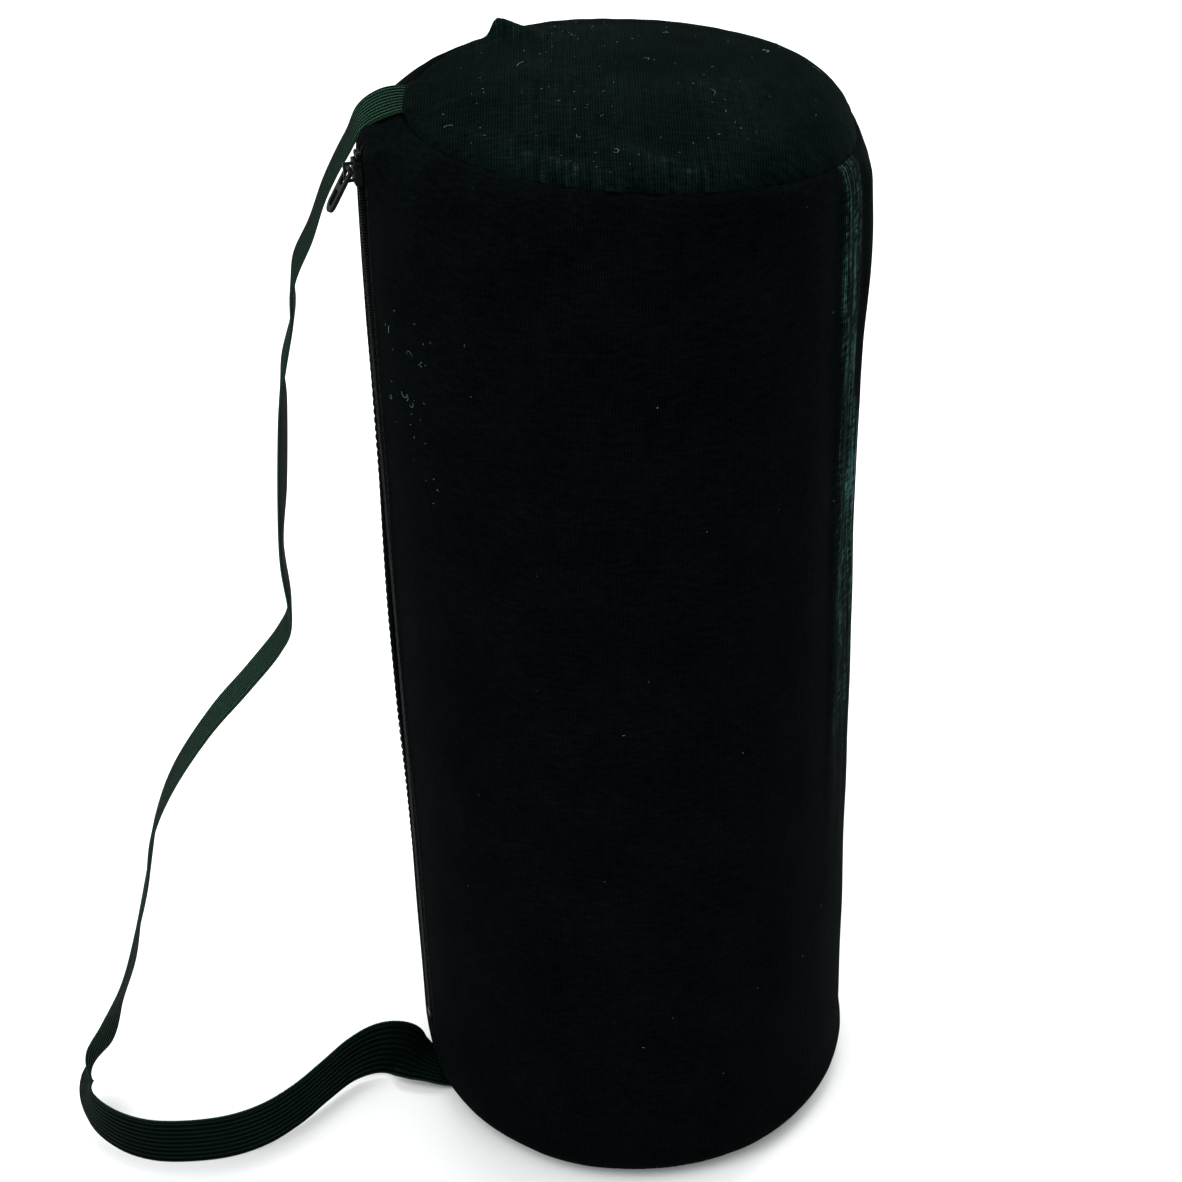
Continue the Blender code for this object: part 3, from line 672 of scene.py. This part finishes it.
def wall_relief(azimuth, z, to_top_seam):
    """How far the wall's cloth stands out from the plain tube, along its normal."""
    here = Vector((math.cos(azimuth) * 1.6, math.sin(azimuth) * 1.6, z * 9))
    out = 0.0005 * noise.noise(here) + 0.0003 * noise.noise(here * 3.1)
    left = hump(turn_between(azimuth, math.pi), 0, 1.2)
    reach = RIM_REACH * (0.62 - 0.38 * math.cos(azimuth))
    out += rim_relief(azimuth) * smoothstep(1 - to_top_seam / reach)
    out += 0.0012 * left * hump(z, 0.235, 0.11)
    zip_angle = turn_between(azimuth, ZIP_AZIMUTH)
    out += zip_stand(z) * smoothstep(hump(zip_angle, 0, 0.30) * 1.6)
    out += 0.0006 * math.exp(-((abs(zip_angle) - 0.075) / 0.018) ** 2) * hump(z, 0.245, 0.21)
    return out + side_folds(azimuth, z, to_top_seam) + pucker(azimuth, to_top_seam) + seam_groove(to_top_seam)


def wall_stations():
    """Rows of the wall's grid, from the base seam over the foot and the wall to the top seam."""
    foot = [("foot", -BASE_SEAM_ANGLE * (1 - k / FOOT_ROWS)) for k in range(FOOT_ROWS)]
    rise = SHOULDER_BASE - FOOT_RADIUS
    wall = [("wall", FOOT_RADIUS + rise * k / WALL_ROWS) for k in range(WALL_ROWS)]
    shoulder = [("shoulder", k / SHOULDER_ROWS) for k in range(SHOULDER_ROWS + 1)]
    return foot + wall + shoulder


def wall_point(azimuth, station):
    """The point, its normal in the upright plane (out, up), the run of cloth up to it and to the seam."""
    kind, value = station
    seam = top_seam_angle(azimuth)
    foot_run = FOOT_RADIUS * BASE_SEAM_ANGLE
    if kind == "foot":
        radius = FOOT_AXIS + FOOT_RADIUS * math.cos(value)
        z = FOOT_RADIUS + FOOT_RADIUS * math.sin(value)
        return radius, z, (math.cos(value), math.sin(value)), foot_run + FOOT_RADIUS * value, 1.0
    if kind == "wall":
        left = SHOULDER_BASE - value + SHOULDER_RADIUS * seam
        return BAG_RADIUS, value, (1.0, 0.0), foot_run + value - FOOT_RADIUS, left
    angle = value * seam
    radius = SHOULDER_AXIS + SHOULDER_RADIUS * math.cos(angle)
    z = SHOULDER_BASE + SHOULDER_RADIUS * math.sin(angle)
    run = foot_run + SHOULDER_BASE - FOOT_RADIUS + SHOULDER_RADIUS * angle
    return radius, z, (math.cos(angle), math.sin(angle)), run, SHOULDER_RADIUS * (seam - angle)


def wall_spot(azimuth, z, proud):
    """A point just off the wall's cloth, between the foot and the shoulder."""
    relief = wall_relief(azimuth, z, SHOULDER_BASE - z + SHOULDER_RADIUS)
    return polar(BAG_RADIUS + relief + proud, azimuth, z)


def wall_paleness_and_highlight(point):
    azimuth = math.atan2(point.y, point.x)
    # Painted highlight in streaks on the flank of the first +X fold; besides it, paler patches low on the +X
    # side and paler blotches on the front shoulder.
    lightening = painted_highlight_band(azimuth, point.z) * (0.78 + 0.5 * drift(azimuth * 30, point.z * 9, 3.3))
    lower = hump(turn_between(azimuth, -0.10), 0, 0.32) * hump(point.z, 0.20, 0.19)
    patch = smoothstep(0.5 + 1.5 * drift(azimuth * 26, point.z * 14, 6.1))
    blotch = smoothstep(0.4 + 1.6 * drift(azimuth * 11, point.z * 75, 2.4))
    shoulder = smoothstep((point.z - 0.430) / 0.025) * hump(turn_between(azimuth, math.radians(238)), 0, 0.9)
    return min(max(lightening + 0.45 * lower * patch + 0.12 * shoulder * blotch, 0.0), 1.0)


def slit_azimuths(half_width, radius, count):
    """Azimuths round the tube from one edge of the zip's slit to the other."""
    slit = math.asin(half_width / radius)
    return [ZIP_AZIMUTH + slit + (math.tau - 2 * slit) * k / count for k in range(count + 1)]


def cover_wall(material):
    azimuths = slit_azimuths(COVER_SLIT, BAG_RADIUS, COLUMNS)
    stations = wall_stations()
    points = []
    runs = []
    for azimuth in azimuths:
        column = []
        run_column = []
        for station in stations:
            radius, z, (out, up), run, to_seam = wall_point(azimuth, station)
            relief = wall_relief(azimuth, z, to_seam)
            lean = FOOT_LEAN * math.cos(azimuth) * smoothstep((0.030 - z) / 0.024)
            relief += lean * smoothstep(run / 0.005)
            if station[0] == "foot":
                relief += seam_groove(run)
            column.append(polar(radius + relief * out, azimuth, max(z + relief * up, 0.0002)))
            run_column.append(run)
        points.append(column)
        runs.append(run_column)
    last = len(azimuths) - 1

    def keep(i, j):
        if i < last:
            return True
        middle = (points[0][j].z + points[0][j + 1].z) / 2
        return not ZIP_LOW - 0.001 < middle < ZIP_HIGH + 0.001

    def coords(i, j):
        extra = COVER_SLIT * 2 if i > last else 0.0
        return BAG_RADIUS * (azimuths[min(i, last)] - azimuths[0]) + extra, runs[min(i, last)][j]

    obj = thickened(grid_sheet("cover_wall", points, coords, material, keep, ring=True), CLOTH_THICKNESS)
    store_paleness_and_highlight(obj, wall_paleness_and_highlight)
    bends_open(obj, "cover_fabric", "wall_cover", "front_edge_cover")


def top_relief(x, y, to_seam, azimuth):
    """How far the top's cloth stands out from the plain crown, along its normal."""
    out = 0.0010 * drift(x * 28, y * 28, 5.1) + 0.0004 * drift(x * 75, y * 75, 1.3)
    out *= smoothstep(to_seam / 0.02)
    out += rim_relief(azimuth) * smoothstep(1 - to_seam / 0.035)
    root = hump(turn_between(azimuth, math.pi), 0, 0.34)
    out += 0.0024 * smoothstep(root * 2) * smoothstep(1 - to_seam / 0.012)
    return out + pinch(x, y) + creases(x, y) + pucker(azimuth, to_seam) + seam_groove(to_seam)


def along_line(x, y, start, end):
    """How far along the line from start to end a point lies, from 0 to 1, and its distance from the line."""
    run = Vector(end) - Vector(start)
    away = Vector((x, y)) - Vector(start)
    share = min(max(away.dot(run) / run.length_squared, 0.0), 1.0)
    return share, (away - run * share).length


def creases(x, y):
    """Low rolls of loose cloth along the front of the top seam and beside the strap."""
    out = 0.0
    for start, end, height, width in CREASES:
        share, aside = along_line(x, y, start, end)
        out += height * math.sin(math.pi * (0.08 + 0.84 * share)) * math.exp(-(aside / width) ** 2)
    return out


def pinch(x, y):
    """A pinched peak of cloth near the rim, with two folds that run from it towards the middle."""
    out = 0.0
    for foot, height, start_width, end_width in PINCH_FOLDS:
        share, aside = along_line(x, y, PINCH_PEAK, foot)
        width = start_width + (end_width - start_width) * share
        out += height * (1 - share) ** 1.9 * math.exp(-(aside / width) ** 2)
    return out


def top_point(x, y):
    """The point of the top panel's cloth over x, y."""
    radius = math.hypot(x, y)
    azimuth = math.atan2(y, x)
    to_seam = top_seam_radius(azimuth) - radius
    reach = max(radius - SHOULDER_AXIS, 0.0) / SHOULDER_RADIUS
    relief = top_relief(x, y, to_seam, azimuth)
    return polar(radius + relief * reach, azimuth, top_height(radius) + relief * math.sqrt(1 - reach**2))


def top_paleness_and_highlight(x, y):
    """The top is painted paler along the crests of its puckers, rolls and pinch folds, as painted highlights,
    and in soft pale patches.
    """
    azimuth = math.atan2(y, x)
    to_seam = top_seam_radius(azimuth) - math.hypot(x, y)
    crest = max(pucker(azimuth, max(to_seam, 0)), 0) / 0.0008
    patch = smoothstep(0.5 + 1.5 * drift(x * 24, y * 24, 8.2))
    rolled = max(creases(x, y), 0) / 0.0012
    return min(0.45 * crest + 0.45 * rolled + 70 * pinch(x, y) + 0.24 * patch, 1.0)


def cover_top(material):
    obj = disc_sheet("cover_top", COLUMNS, 56, 1.25, top_seam_radius, top_point, material)
    obj = thickened(obj, CLOTH_THICKNESS)
    store_paleness_and_highlight(obj, lambda p: top_paleness_and_highlight(p.x, p.y))
    rides(obj, "bag", "cover_fabric", "top_cover")


def seam_roll(material):
    """The overlocked edges of wall and top, a thin roll in the bottom of the top seam's groove."""
    path = []
    for k in range(COLUMNS + 1):
        azimuth = math.tau * k / COLUMNS
        edge = top_seam_radius(azimuth)
        reach = (edge - SHOULDER_AXIS) / SHOULDER_RADIUS
        sunk = rim_relief(azimuth) + seam_groove(0) + pucker(azimuth, 0) - 0.0015
        path.append(polar(edge + sunk * reach, azimuth, top_height(edge) + sunk * math.sqrt(1 - reach**2)))
    rides(strands("seam_roll", [path], 0.0013, material, 10), "bag", "cover_fabric")


def disc_sheet(name, columns, rings, power, edge, point, material):
    """A round sheet with x and y as cloth coordinates: edge gives its rim's distance at an azimuth, point its
    place over x, y, and power how its rings crowd towards the rim."""
    flats = []
    for i in range(columns):
        azimuth = math.tau * i / columns
        flats.append([polar(edge(azimuth) * (1 - (j / rings) ** power), azimuth, 0).xy for j in range(rings)])
    points = [[point(p.x, p.y) for p in column] for column in flats]
    obj = grid_sheet(name, points, lambda i, j: flats[i % columns][j], material, ring=True)
    with editing(obj.data) as bm:
        layer = bm.loops.layers.uv["cloth"]
        rim = [e for e in bm.edges if e.is_boundary and max(v.co.xy.length for v in e.verts) < 0.02]
        made = bmesh.ops.edgeloop_fill(bm, edges=rim)["faces"]
        for face in bmesh.ops.poke(bm, faces=made)["faces"]:
            face.smooth = True
            for loop in face.loops:
                loop[layer].uv = loop.vert.co.xy
        bmesh.ops.recalc_face_normals(bm, faces=bm.faces)
        if sum(f.normal.z for f in bm.faces) < 0:
            bmesh.ops.reverse_faces(bm, faces=bm.faces)
    return obj


def base_point(x, y):
    reach = math.hypot(x, y) - FOOT_AXIS
    z = 0.0 if reach <= 0 else FOOT_RADIUS - math.sqrt(FOOT_RADIUS**2 - reach**2)
    return Vector((x, y, z + 0.0003))


def cover_base(material):
    obj = disc_sheet("cover_base", 160, 24, 1.2, lambda azimuth: BASE_SEAM_RADIUS, base_point, material)
    obj = thickened(obj, -CLOTH_THICKNESS)
    rides(obj, "bag", "cover_fabric", "base_cover")


# ---- padding, lining


def tube_sheet(name, half_slit, radius, low, high, rows, material, thickness, relief, wrap=None):
    """An inner layer of the wall, open at the zip; wrap is the radius that its slit edges turn out to."""
    count = 160
    azimuths = slit_azimuths(half_slit, radius, count)
    columns = [(a, radius) for a in azimuths]
    if wrap is not None:
        steps = 5
        turned = [(radius + (wrap - radius) * (k + 1) / steps) for k in range(steps)]
        columns = [(azimuths[0], r) for r in reversed(turned)] + columns + [(azimuths[-1], r) for r in turned]
    heights = [low + (high - low) * k / rows for k in range(rows + 1)]
    points = []
    run = 0.0
    runs = []
    for i, (azimuth, r) in enumerate(columns):
        flat = r == radius
        column = []
        for z in heights:
            inward = skin_radius(z, BAG_RADIUS - radius) - radius
            if not flat:
                inward = zip_lean(z)
            column.append(polar(r + inward + (relief(azimuth, z) if flat else 0.0), azimuth, z))
        points.append(column)
        if i:
            run += (points[i][0] - points[i - 1][0]).length
        runs.append(run)
    runs.append(run + 2 * half_slit)
    last = len(columns) - 1

    def keep(i, j):
        if i < last:
            return True
        middle = (heights[j] + heights[j + 1]) / 2
        return not ZIP_LOW - 0.002 < middle < ZIP_HIGH + 0.002

    obj = grid_sheet(name, points, lambda i, j: (runs[i], heights[j]), material, keep, ring=True)
    return thickened(obj, thickness)


def turned(name, profile, material, closed=False):
    """A body turned from (radius, height) pairs; closed joins their ends, which otherwise lie on the axis."""
    columns = 160
    rows = len(profile)
    verts = []
    for i in range(columns):
        verts += [polar(radius, math.tau * i / columns, z) for radius, z in profile]
    faces = []
    uvs = []
    walks = [0.0]
    for (r0, z0), (r1, z1) in zip(profile, profile[1:] + profile[:1]):
        walks.append(walks[-1] + math.hypot(r1 - r0, z1 - z0))
    for i in range(columns):
        after = (i + 1) % columns
        for j in range(rows if closed else rows - 1):
            k = (j + 1) % rows
            faces.append((i * rows + j, i * rows + k, after * rows + k, after * rows + j))
            for column, row, walk in ((i, j, j), (i, k, j + 1), (i + 1, k, j + 1), (i + 1, j, j)):
                angle = math.tau * column / columns
                if closed:
                    uvs.append((profile[0][0] * angle, walks[walk]))
                else:
                    uvs.append((profile[row][0] * math.cos(angle), profile[row][0] * math.sin(angle)))
    obj = mesh_object(name, verts, faces, uvs, material)
    with editing(obj.data) as bm:
        bmesh.ops.remove_doubles(bm, verts=bm.verts, dist=1e-6)
        bmesh.ops.recalc_face_normals(bm, faces=bm.faces)
    return obj


def pad_profile(edge, upper, lower):
    """The turned outline of a round pad: over the top, round its rim, and back under it."""
    steps = 26
    over = [edge * k / steps for k in range(steps + 1)]
    rim = (upper(edge) + lower(edge)) / 2
    half = (upper(edge) - lower(edge)) / 2
    turn = [(edge + 0.6 * half * math.sin(a), rim + half * math.cos(a)) for a in (0.5, 1.0, 1.57, 2.14, 2.64)]
    return [(r, upper(r)) for r in over] + turn + [(r, lower(r)) for r in reversed(over)]


def binding(name, node_name, material):
    """A folded tape round a seam's raw edges."""
    low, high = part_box(node_name)
    inner, outer = radii(node_name)
    middle = (low.z + high.z) / 2
    half = (high.z - low.z) / 2 - 0.0004
    sides = 28
    profile = []
    for k in range(sides):
        angle = math.tau * k / sides
        c, s = math.cos(angle), math.sin(angle)
        across = math.copysign(abs(c) ** 0.6, c) * (outer - inner) / 2
        profile.append(((inner + outer) / 2 + across, middle + math.copysign(abs(s) ** 0.5, s) * half))
    rides(turned(name, profile, material, closed=True), "bag", "binding_tape", node_name)


def round_padding(foam, lining):
    """The foam discs of the top and the base, each with its lining."""
    edge = radii("top_foam")[1] - 0.0012
    rim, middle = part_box("top_foam")[0].z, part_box("top_lining")[1].z + 0.0003

    def ceiling(r):
        return middle + (rim - middle) * (r / edge) ** 2

    def crown(r):
        reach = max(r - SHOULDER_AXIS, 0.0)
        drop = CROWN * (r / SHOULDER_AXIS) ** 2 if reach == 0 else CROWN
        under = SHOULDER_RADIUS - 0.0065
        return TOTAL_HEIGHT - drop - SHOULDER_RADIUS + math.sqrt(under**2 - reach**2)

    low, high = (c.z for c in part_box("base_foam"))
    for name, node_name, upper, lower in (
        ("foam_top", "top_foam", crown, ceiling),
        ("foam_base", "base_foam", lambda r: high, lambda r: low),
    ):
        pad = turned(name, pad_profile(edge - 0.002, upper, lower), foam)
        rides(pad, "bag", "foam", node_name)
    round_lining("lining_top", "top_lining", edge, lambda r: ceiling(r) - 0.0004, lining)
    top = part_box("base_lining")[1].z - 0.0001
    surface = lambda radius: top - 0.0002 * (radius / edge) ** 2
    round_lining("lining_base", "base_lining", edge, surface, lining)


def round_lining(name, node_name, edge, height, material):
    thickness = 0.0007
    profile = pad_profile(edge, height, lambda r: height(r) - thickness)
    disc = turned(name, profile, material)
    rides(disc, "bag", "lining_fabric", node_name)


def inner_parts(foam, lining, tape, board):
    def foam_relief(azimuth, z):
        return 0.0002 * drift(azimuth * 4, z * 20, 0)

    def lining_relief(azimuth, z):
        return 0.0003 * drift(math.cos(azimuth) * 3, math.sin(azimuth) * 3, z * 30)

    low, high = (c.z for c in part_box("wall_foam"))
    thickness = FOAM_OUTER - FOAM_INNER
    wall = tube_sheet("foam_wall", 0.0062, FOAM_OUTER, low, high, 90, foam, thickness, foam_relief)
    bends_open(wall, "foam", "wall_foam", "front_edge_foam")
    low, high = (c.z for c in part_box("wall_lining"))
    wrap = TAPE_INNER - 0.0004
    outer = LINING_OUTER
    cloth = tube_sheet("lining_wall", 0.005, outer, low, high, 110, lining, 0.0007, lining_relief, wrap)
    bends_open(cloth, "lining_fabric", "wall_lining", "front_edge_lining")
    round_padding(foam, lining)
    binding("binding_top", "top_seam_binding", tape)
    binding("binding_base", "base_seam_binding", tape)
    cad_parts["base_board"].material_slots[0].material = board


# ---- thread, lint


def strands(name, paths, radius, material, sides=6):
    """Many short threads in one mesh."""
    verts = []
    faces = []
    for path in paths:
        more_verts, more_faces = tube(path, radius, sides)
        faces += [tuple(len(verts) + v for v in face) for face in more_faces]
        verts += more_verts
    return mesh_object(name, verts, faces, None, material, smooth=60)


def topstitch(name, side, material):
    """The row of stitches beside the zip; side is 1 at the front edge and -1 at the rear."""
    stitch = 0.0028
    gap = 0.0009
    aside = side * (COVER_SLIT + 0.0028) / BAG_RADIUS
    count = int((ZIP_HIGH - 0.012 - ZIP_LOW) / (stitch + gap))
    paths = []
    for k in range(count):
        start = ZIP_LOW + 0.002 + k * (stitch + gap)
        heights = [start + stitch * t for t in (0.0, 0.1, 0.35, 0.65, 0.9, 1.0)]
        sunk = (-0.0004, 0.0001, 0.0002, 0.0002, 0.0001, -0.0004)
        paths.append([wall_spot(ZIP_AZIMUTH + aside, z, proud) for z, proud in zip(heights, sunk)])
    return strands(name, paths, 0.00022, material)


def curl(draw, length, bend):
    """Flat offsets of a fibre that lies curled on the cloth."""
    steps = 12
    angle = draw.uniform(0, math.tau)
    turn = draw.uniform(-bend, bend)
    place = Vector((0, 0))
    path = [place.copy()]
    for _ in range(steps):
        angle += turn / steps + draw.uniform(-0.25, 0.25)
        place += Vector((math.cos(angle), math.sin(angle))) * length / steps
        path.append(place.copy())
    return path


def lint_sizes(draw, fibres, specks):
    """Length and bend of each fibre and speck."""
    sizes = [(draw.uniform(0.0025, 0.0065), 4.5) for _ in range(fibres)]
    return sizes + [(draw.uniform(0.0004, 0.0011), 1.0) for _ in range(specks)]


def lint_pieces(material):
    """Pale fibres and specks that cling to the cloth, mostly on the top and high beside the zip."""
    draw = random.Random(11)
    fibres = []
    for length, bend in lint_sizes(draw, 9, 95):
        azimuth = draw.uniform(0, math.tau)
        reach = 0.078 * math.sqrt(draw.random())
        middle = Vector((0.006 + reach * math.cos(azimuth), reach * math.sin(azimuth)))
        path = [middle + step for step in curl(draw, length, bend)]
        fibres.append([top_point(p.x, p.y) + Vector((0, 0, 0.0001)) for p in path])
    rides(strands("lint_top", fibres, 0.00007, material, 5), "bag", "cover_fabric")
    fibres = []
    for length, bend in lint_sizes(draw, 7, 45):
        high = length > 0.002 or draw.random() < 0.5
        azimuth = math.radians(draw.uniform(207, 226) if high else draw.uniform(215, 345))
        z = draw.uniform(0.335, 0.405) if high else draw.uniform(0.03, 0.42)
        steps = curl(draw, length, bend)
        fibres.append([wall_spot(azimuth + step.x / BAG_RADIUS, z + step.y, 0.0001) for step in steps])
    bends_open(strands("lint_wall", fibres, 0.00007, material, 5), "cover_fabric")


# ---- zip


def zip_point(across, radius, z):
    """A point of the zip: across is the distance from its middle line, towards the front edge."""
    return polar(radius + zip_lean(z), ZIP_AZIMUTH + math.asin(across / radius), z)


def zip_tape(name, side, material):
    """A woven tape with a beaded edge beside the coil; side is 1 at the front edge and -1 at the rear."""
    steps = 10
    rows = 150
    low = ZIP_LOW - 0.002
    rise = ZIP_HIGH + 0.002 - low
    points = []
    for i in range(steps + 1):
        across = side * (TAPE_EDGE + (TAPE_WIDTH - TAPE_EDGE) * i / steps)
        bead = 0.00025 * math.exp(-((i - 1) / 0.8) ** 2)
        points.append([zip_point(across, TAPE_OUTER + bead, low + rise * j / rows) for j in range(rows + 1)])
    if side < 0:
        points.reverse()
    obj = grid_sheet(name, points, lambda i, j: (TAPE_WIDTH * i / steps, rise * j / rows), material)
    return thickened(obj, 0.0005)


def zip_coil(name, side, material):
    """A flattened helix of nylon wire, whose heads meet those of the other side."""
    turns = int((ZIP_HIGH - 0.003 - ZIP_LOW - 0.005) / COIL_PITCH)
    samples = 14
    sides = 6
    middle = 0.00125
    half_across = 0.00105
    half_deep = (COIL_OUTER - COIL_INNER) / 2 - WIRE_RADIUS
    depth = (COIL_OUTER + COIL_INNER) / 2
    path = []
    for k in range(turns * samples + 1):
        turn = k / samples
        angle = math.tau * turn
        c, s = math.cos(angle), math.sin(angle)
        across = middle - half_across * math.copysign(abs(c) ** 0.7, c)
        deep = depth + half_deep * math.copysign(abs(s) ** 0.8, s)
        z = ZIP_LOW + 0.005 + (turn + (0.25 if side > 0 else 0.75)) * COIL_PITCH
        path.append(zip_point(side * across, deep, z))
    verts, faces = tube(path, WIRE_RADIUS, sides)
    return mesh_object(name, verts, faces, None, material, smooth=60)


def swept_faces(rings, sides):
    """The faces between rings of points, and over both ends."""
    faces = []
    for first in range(0, (rings - 1) * sides, sides):
        for s in range(sides):
            after = (s + 1) % sides
            faces.append((first + s, first + after, first + sides + after, first + sides + s))
    faces.append(tuple(range(sides - 1, -1, -1)))
    faces.append(tuple(range((rings - 1) * sides, rings * sides)))
    return faces


def tube(path, radius, sides):
    """A tube with closed ends along a path, its rings turned as little as possible."""
    verts = []
    across = None
    for k, here in enumerate(path):
        ahead = path[min(k + 1, len(path) - 1)]
        behind = path[max(k - 1, 0)]
        along = (ahead - behind).normalized()
        if across is None:
            across = along.orthogonal()
        across = (across - across.dot(along) * along).normalized()
        other = along.cross(across)
        for s in range(sides):
            angle = math.tau * s / sides
            verts.append(here + radius * (math.cos(angle) * across + math.sin(angle) * other))
    return verts, swept_faces(len(path), sides)


def softened_copy(name, source, material, width):
    """A CAD piece of the zip again, with its edges rounded as a die casting has them."""
    bm = bmesh.new()
    bm.from_mesh(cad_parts[source].data)
    bmesh.ops.remove_doubles(bm, verts=bm.verts, dist=1e-6)
    bmesh.ops.dissolve_limit(bm, angle_limit=math.radians(2), verts=bm.verts, edges=bm.edges)
    sharp = [e for e in bm.edges if len(e.link_faces) == 2 and e.calc_face_angle() > math.radians(35)]
    bmesh.ops.bevel(bm, geom=sharp, offset=width, segments=3, affect="EDGES", clamp_overlap=True)
    mesh = bpy.data.meshes.new(name)
    bm.to_mesh(mesh)
    bm.free()
    mesh.shade_smooth()
    mesh.set_sharp_from_angle(angle=math.radians(40))
    mesh.materials.clear()
    mesh.materials.append(material)
    return placed(name, mesh)


def zip_parts(tape, coil, metal, thread):
    bends_open(topstitch("topstitch_front", 1, thread), "cover_fabric")
    rides(topstitch("topstitch_rear", -1, thread), "bag", "cover_fabric")
    bends_open(zip_tape("tape_front", 1, tape), "zip_tape", "front_zip_tape")
    rides(zip_tape("tape_rear", -1, tape), "bag", "zip_tape", "rear_zip_tape")
    bends_open(zip_coil("coil_front", 1, coil), "zip_coil", "front_zip_coil")
    rides(zip_coil("coil_rear", -1, coil), "bag", "zip_coil", "rear_zip_coil")
    for name, body, width in (
        ("front_zip_top_stop", "bag", 0.00035),
        ("rear_zip_top_stop", "bag", 0.00035),
        ("zip_bottom_stop", "bag", 0.0004),
        ("zip_slider", "slider", 0.00018),
        ("zip_pull", "pull", 0.0003),
    ):
        rides(softened_copy(name + "_finished", name, metal, width), body, "zip_metal", name)


# ---- strap


def smooth_point(points, place):
    k = min(int(place), len(points) - 2)
    t = place - k
    before = points[max(k - 1, 0)]
    a, b = points[k], points[k + 1]
    after = points[min(k + 2, len(points) - 1)]
    return 0.5 * (
        2 * a + (b - before) * t + (2 * before - 5 * a + 4 * b - after) * t**2
        + (3 * a - before - 3 * b + after) * t**3
    )


def webbing_section():
    """Half width and half thickness over the webbing's section, round it once, with its ribs."""
    steps = 72
    top = []
    for k in range(steps + 1):
        u = 1 - 2 * k / steps
        rib = 0.5 - 0.5 * math.cos(math.tau * STRAP_RIBS * (u + 1) / 2)
        edge = math.sqrt(max(1 - abs(u) ** 14, 0.0))
        top.append((u, edge * (0.72 + 0.28 * rib)))
    return top + [(u, -t) for u, t in reversed(top[1:-1])]


def square_widths(middles, widths):
    """The width directions made square to the route, each turned the way that lies nearest the one before."""
    squared = []
    for k, width in enumerate(widths):
        along = (middles[min(k + 1, len(middles) - 1)] - middles[max(k - 1, 0)]).normalized()
        width = (width - width.dot(along) * along).normalized()
        if squared and width.dot(squared[-1]) < 0:
            width = -width
        squared.append(width)
    return squared


def strap_settle(run):
    """How far the strap's first stretch lies below its route, down on the shoulder beside its seam."""
    return 0.0033 * smoothstep(1 - (run - 0.004) / 0.022)


def shoulder_strap(material):
    """Flat webbing that turns with its width, from inside the top seam to inside the base seam."""
    route = SEWN_TOP + STRAP_ROUTE + SEWN_FOOT
    middles = [Vector(p) for p, w in route]
    widths = square_widths(middles, [Vector(w) for p, w in route])
    last = len(middles) - 1
    samples = 340
    section = webbing_section()
    count = len(section)
    verts = []
    runs = []
    run = 0.0
    before = middles[0]
    for k in range(samples + 1):
        place = last * k / samples
        here = smooth_point(middles, place)
        behind = smooth_point(middles, max(place - 0.02, 0))
        along = (smooth_point(middles, min(place + 0.02, last)) - behind).normalized()
        wide = smooth_point(widths, place)
        wide = (wide - wide.dot(along) * along).normalized()
        thick = along.cross(wide).normalized()
        run += (here - before).length
        before = here
        middle = here - Vector((0, 0, strap_settle(run)))
        runs.append(run)
        for u, t in section:
            verts.append(middle + wide * (u * STRAP_WIDTH / 2) + thick * (t * STRAP_THICKNESS / 2))
    faces = [face[::-1] for face in swept_faces(samples + 1, count)]
    uvs = [(runs[v // count], section[v % count][0] * STRAP_WIDTH / 2) for face in faces for v in face]
    obj = mesh_object("strap", verts, faces, uvs, material, smooth=50)
    rides(obj, "bag", "webbing", "shoulder_strap")


# ---- the whole


make_camera()
shoulder_strap(webbing_material())
make_stage()
# The last colour of each jersey is its palest tone, used for the painted highlights and the pale patches.
cloth = jersey("cover_jersey", (0.0002, 0.0003, 0.0004), (0.0022, 0.0036, 0.0039), (0.024, 0.07, 0.062))
# Painted light: the top's jersey is a lighter, greener copy of the wall's, standing in for the top being lit
# more from above.
top_cloth_painted_lighter = jersey("top_jersey_painted_lighter", (0.0001, 0.0003, 0.0003), (0.0021, 0.0056, 0.0052), (0.008, 0.023, 0.021))
lining = woven("lining", (0.004, 0.005, 0.005), (0.014, 0.017, 0.017), 0.0007, 0.5, 0.02, 0.15)
tape = woven("zip_tape", (0.0003, 0.0005, 0.0005), (0.0018, 0.0026, 0.0026), 0.0009, 0.8)
edging = woven("binding", (0.002, 0.003, 0.003), (0.010, 0.012, 0.012), 0.0010, 0.7)
foam = foam_material()
coil = hard_material("zip_coil", (0.0008, 0.0012, 0.0012), (0.004, 0.006, 0.006), 0.45)
metal = hard_material("zip_metal", (0.0006, 0.0012, 0.0010), (0.004, 0.008, 0.006), 0.42)
thread = woven("thread", (0.0015, 0.0025, 0.0025), (0.008, 0.012, 0.012), 0.0004, 0.6)
board = board_material()
cover_wall(cloth)
cover_top(top_cloth_painted_lighter)
cover_base(cloth)
seam = woven("seam", (0.0002, 0.0004, 0.0004), (0.0010, 0.0018, 0.0018), 0.0008, 0.9, 0.001, 0.005)
seam_roll(seam)
inner_parts(foam, lining, edging, board)
zip_parts(tape, coil, metal, thread)
lint_pieces(lint_material())
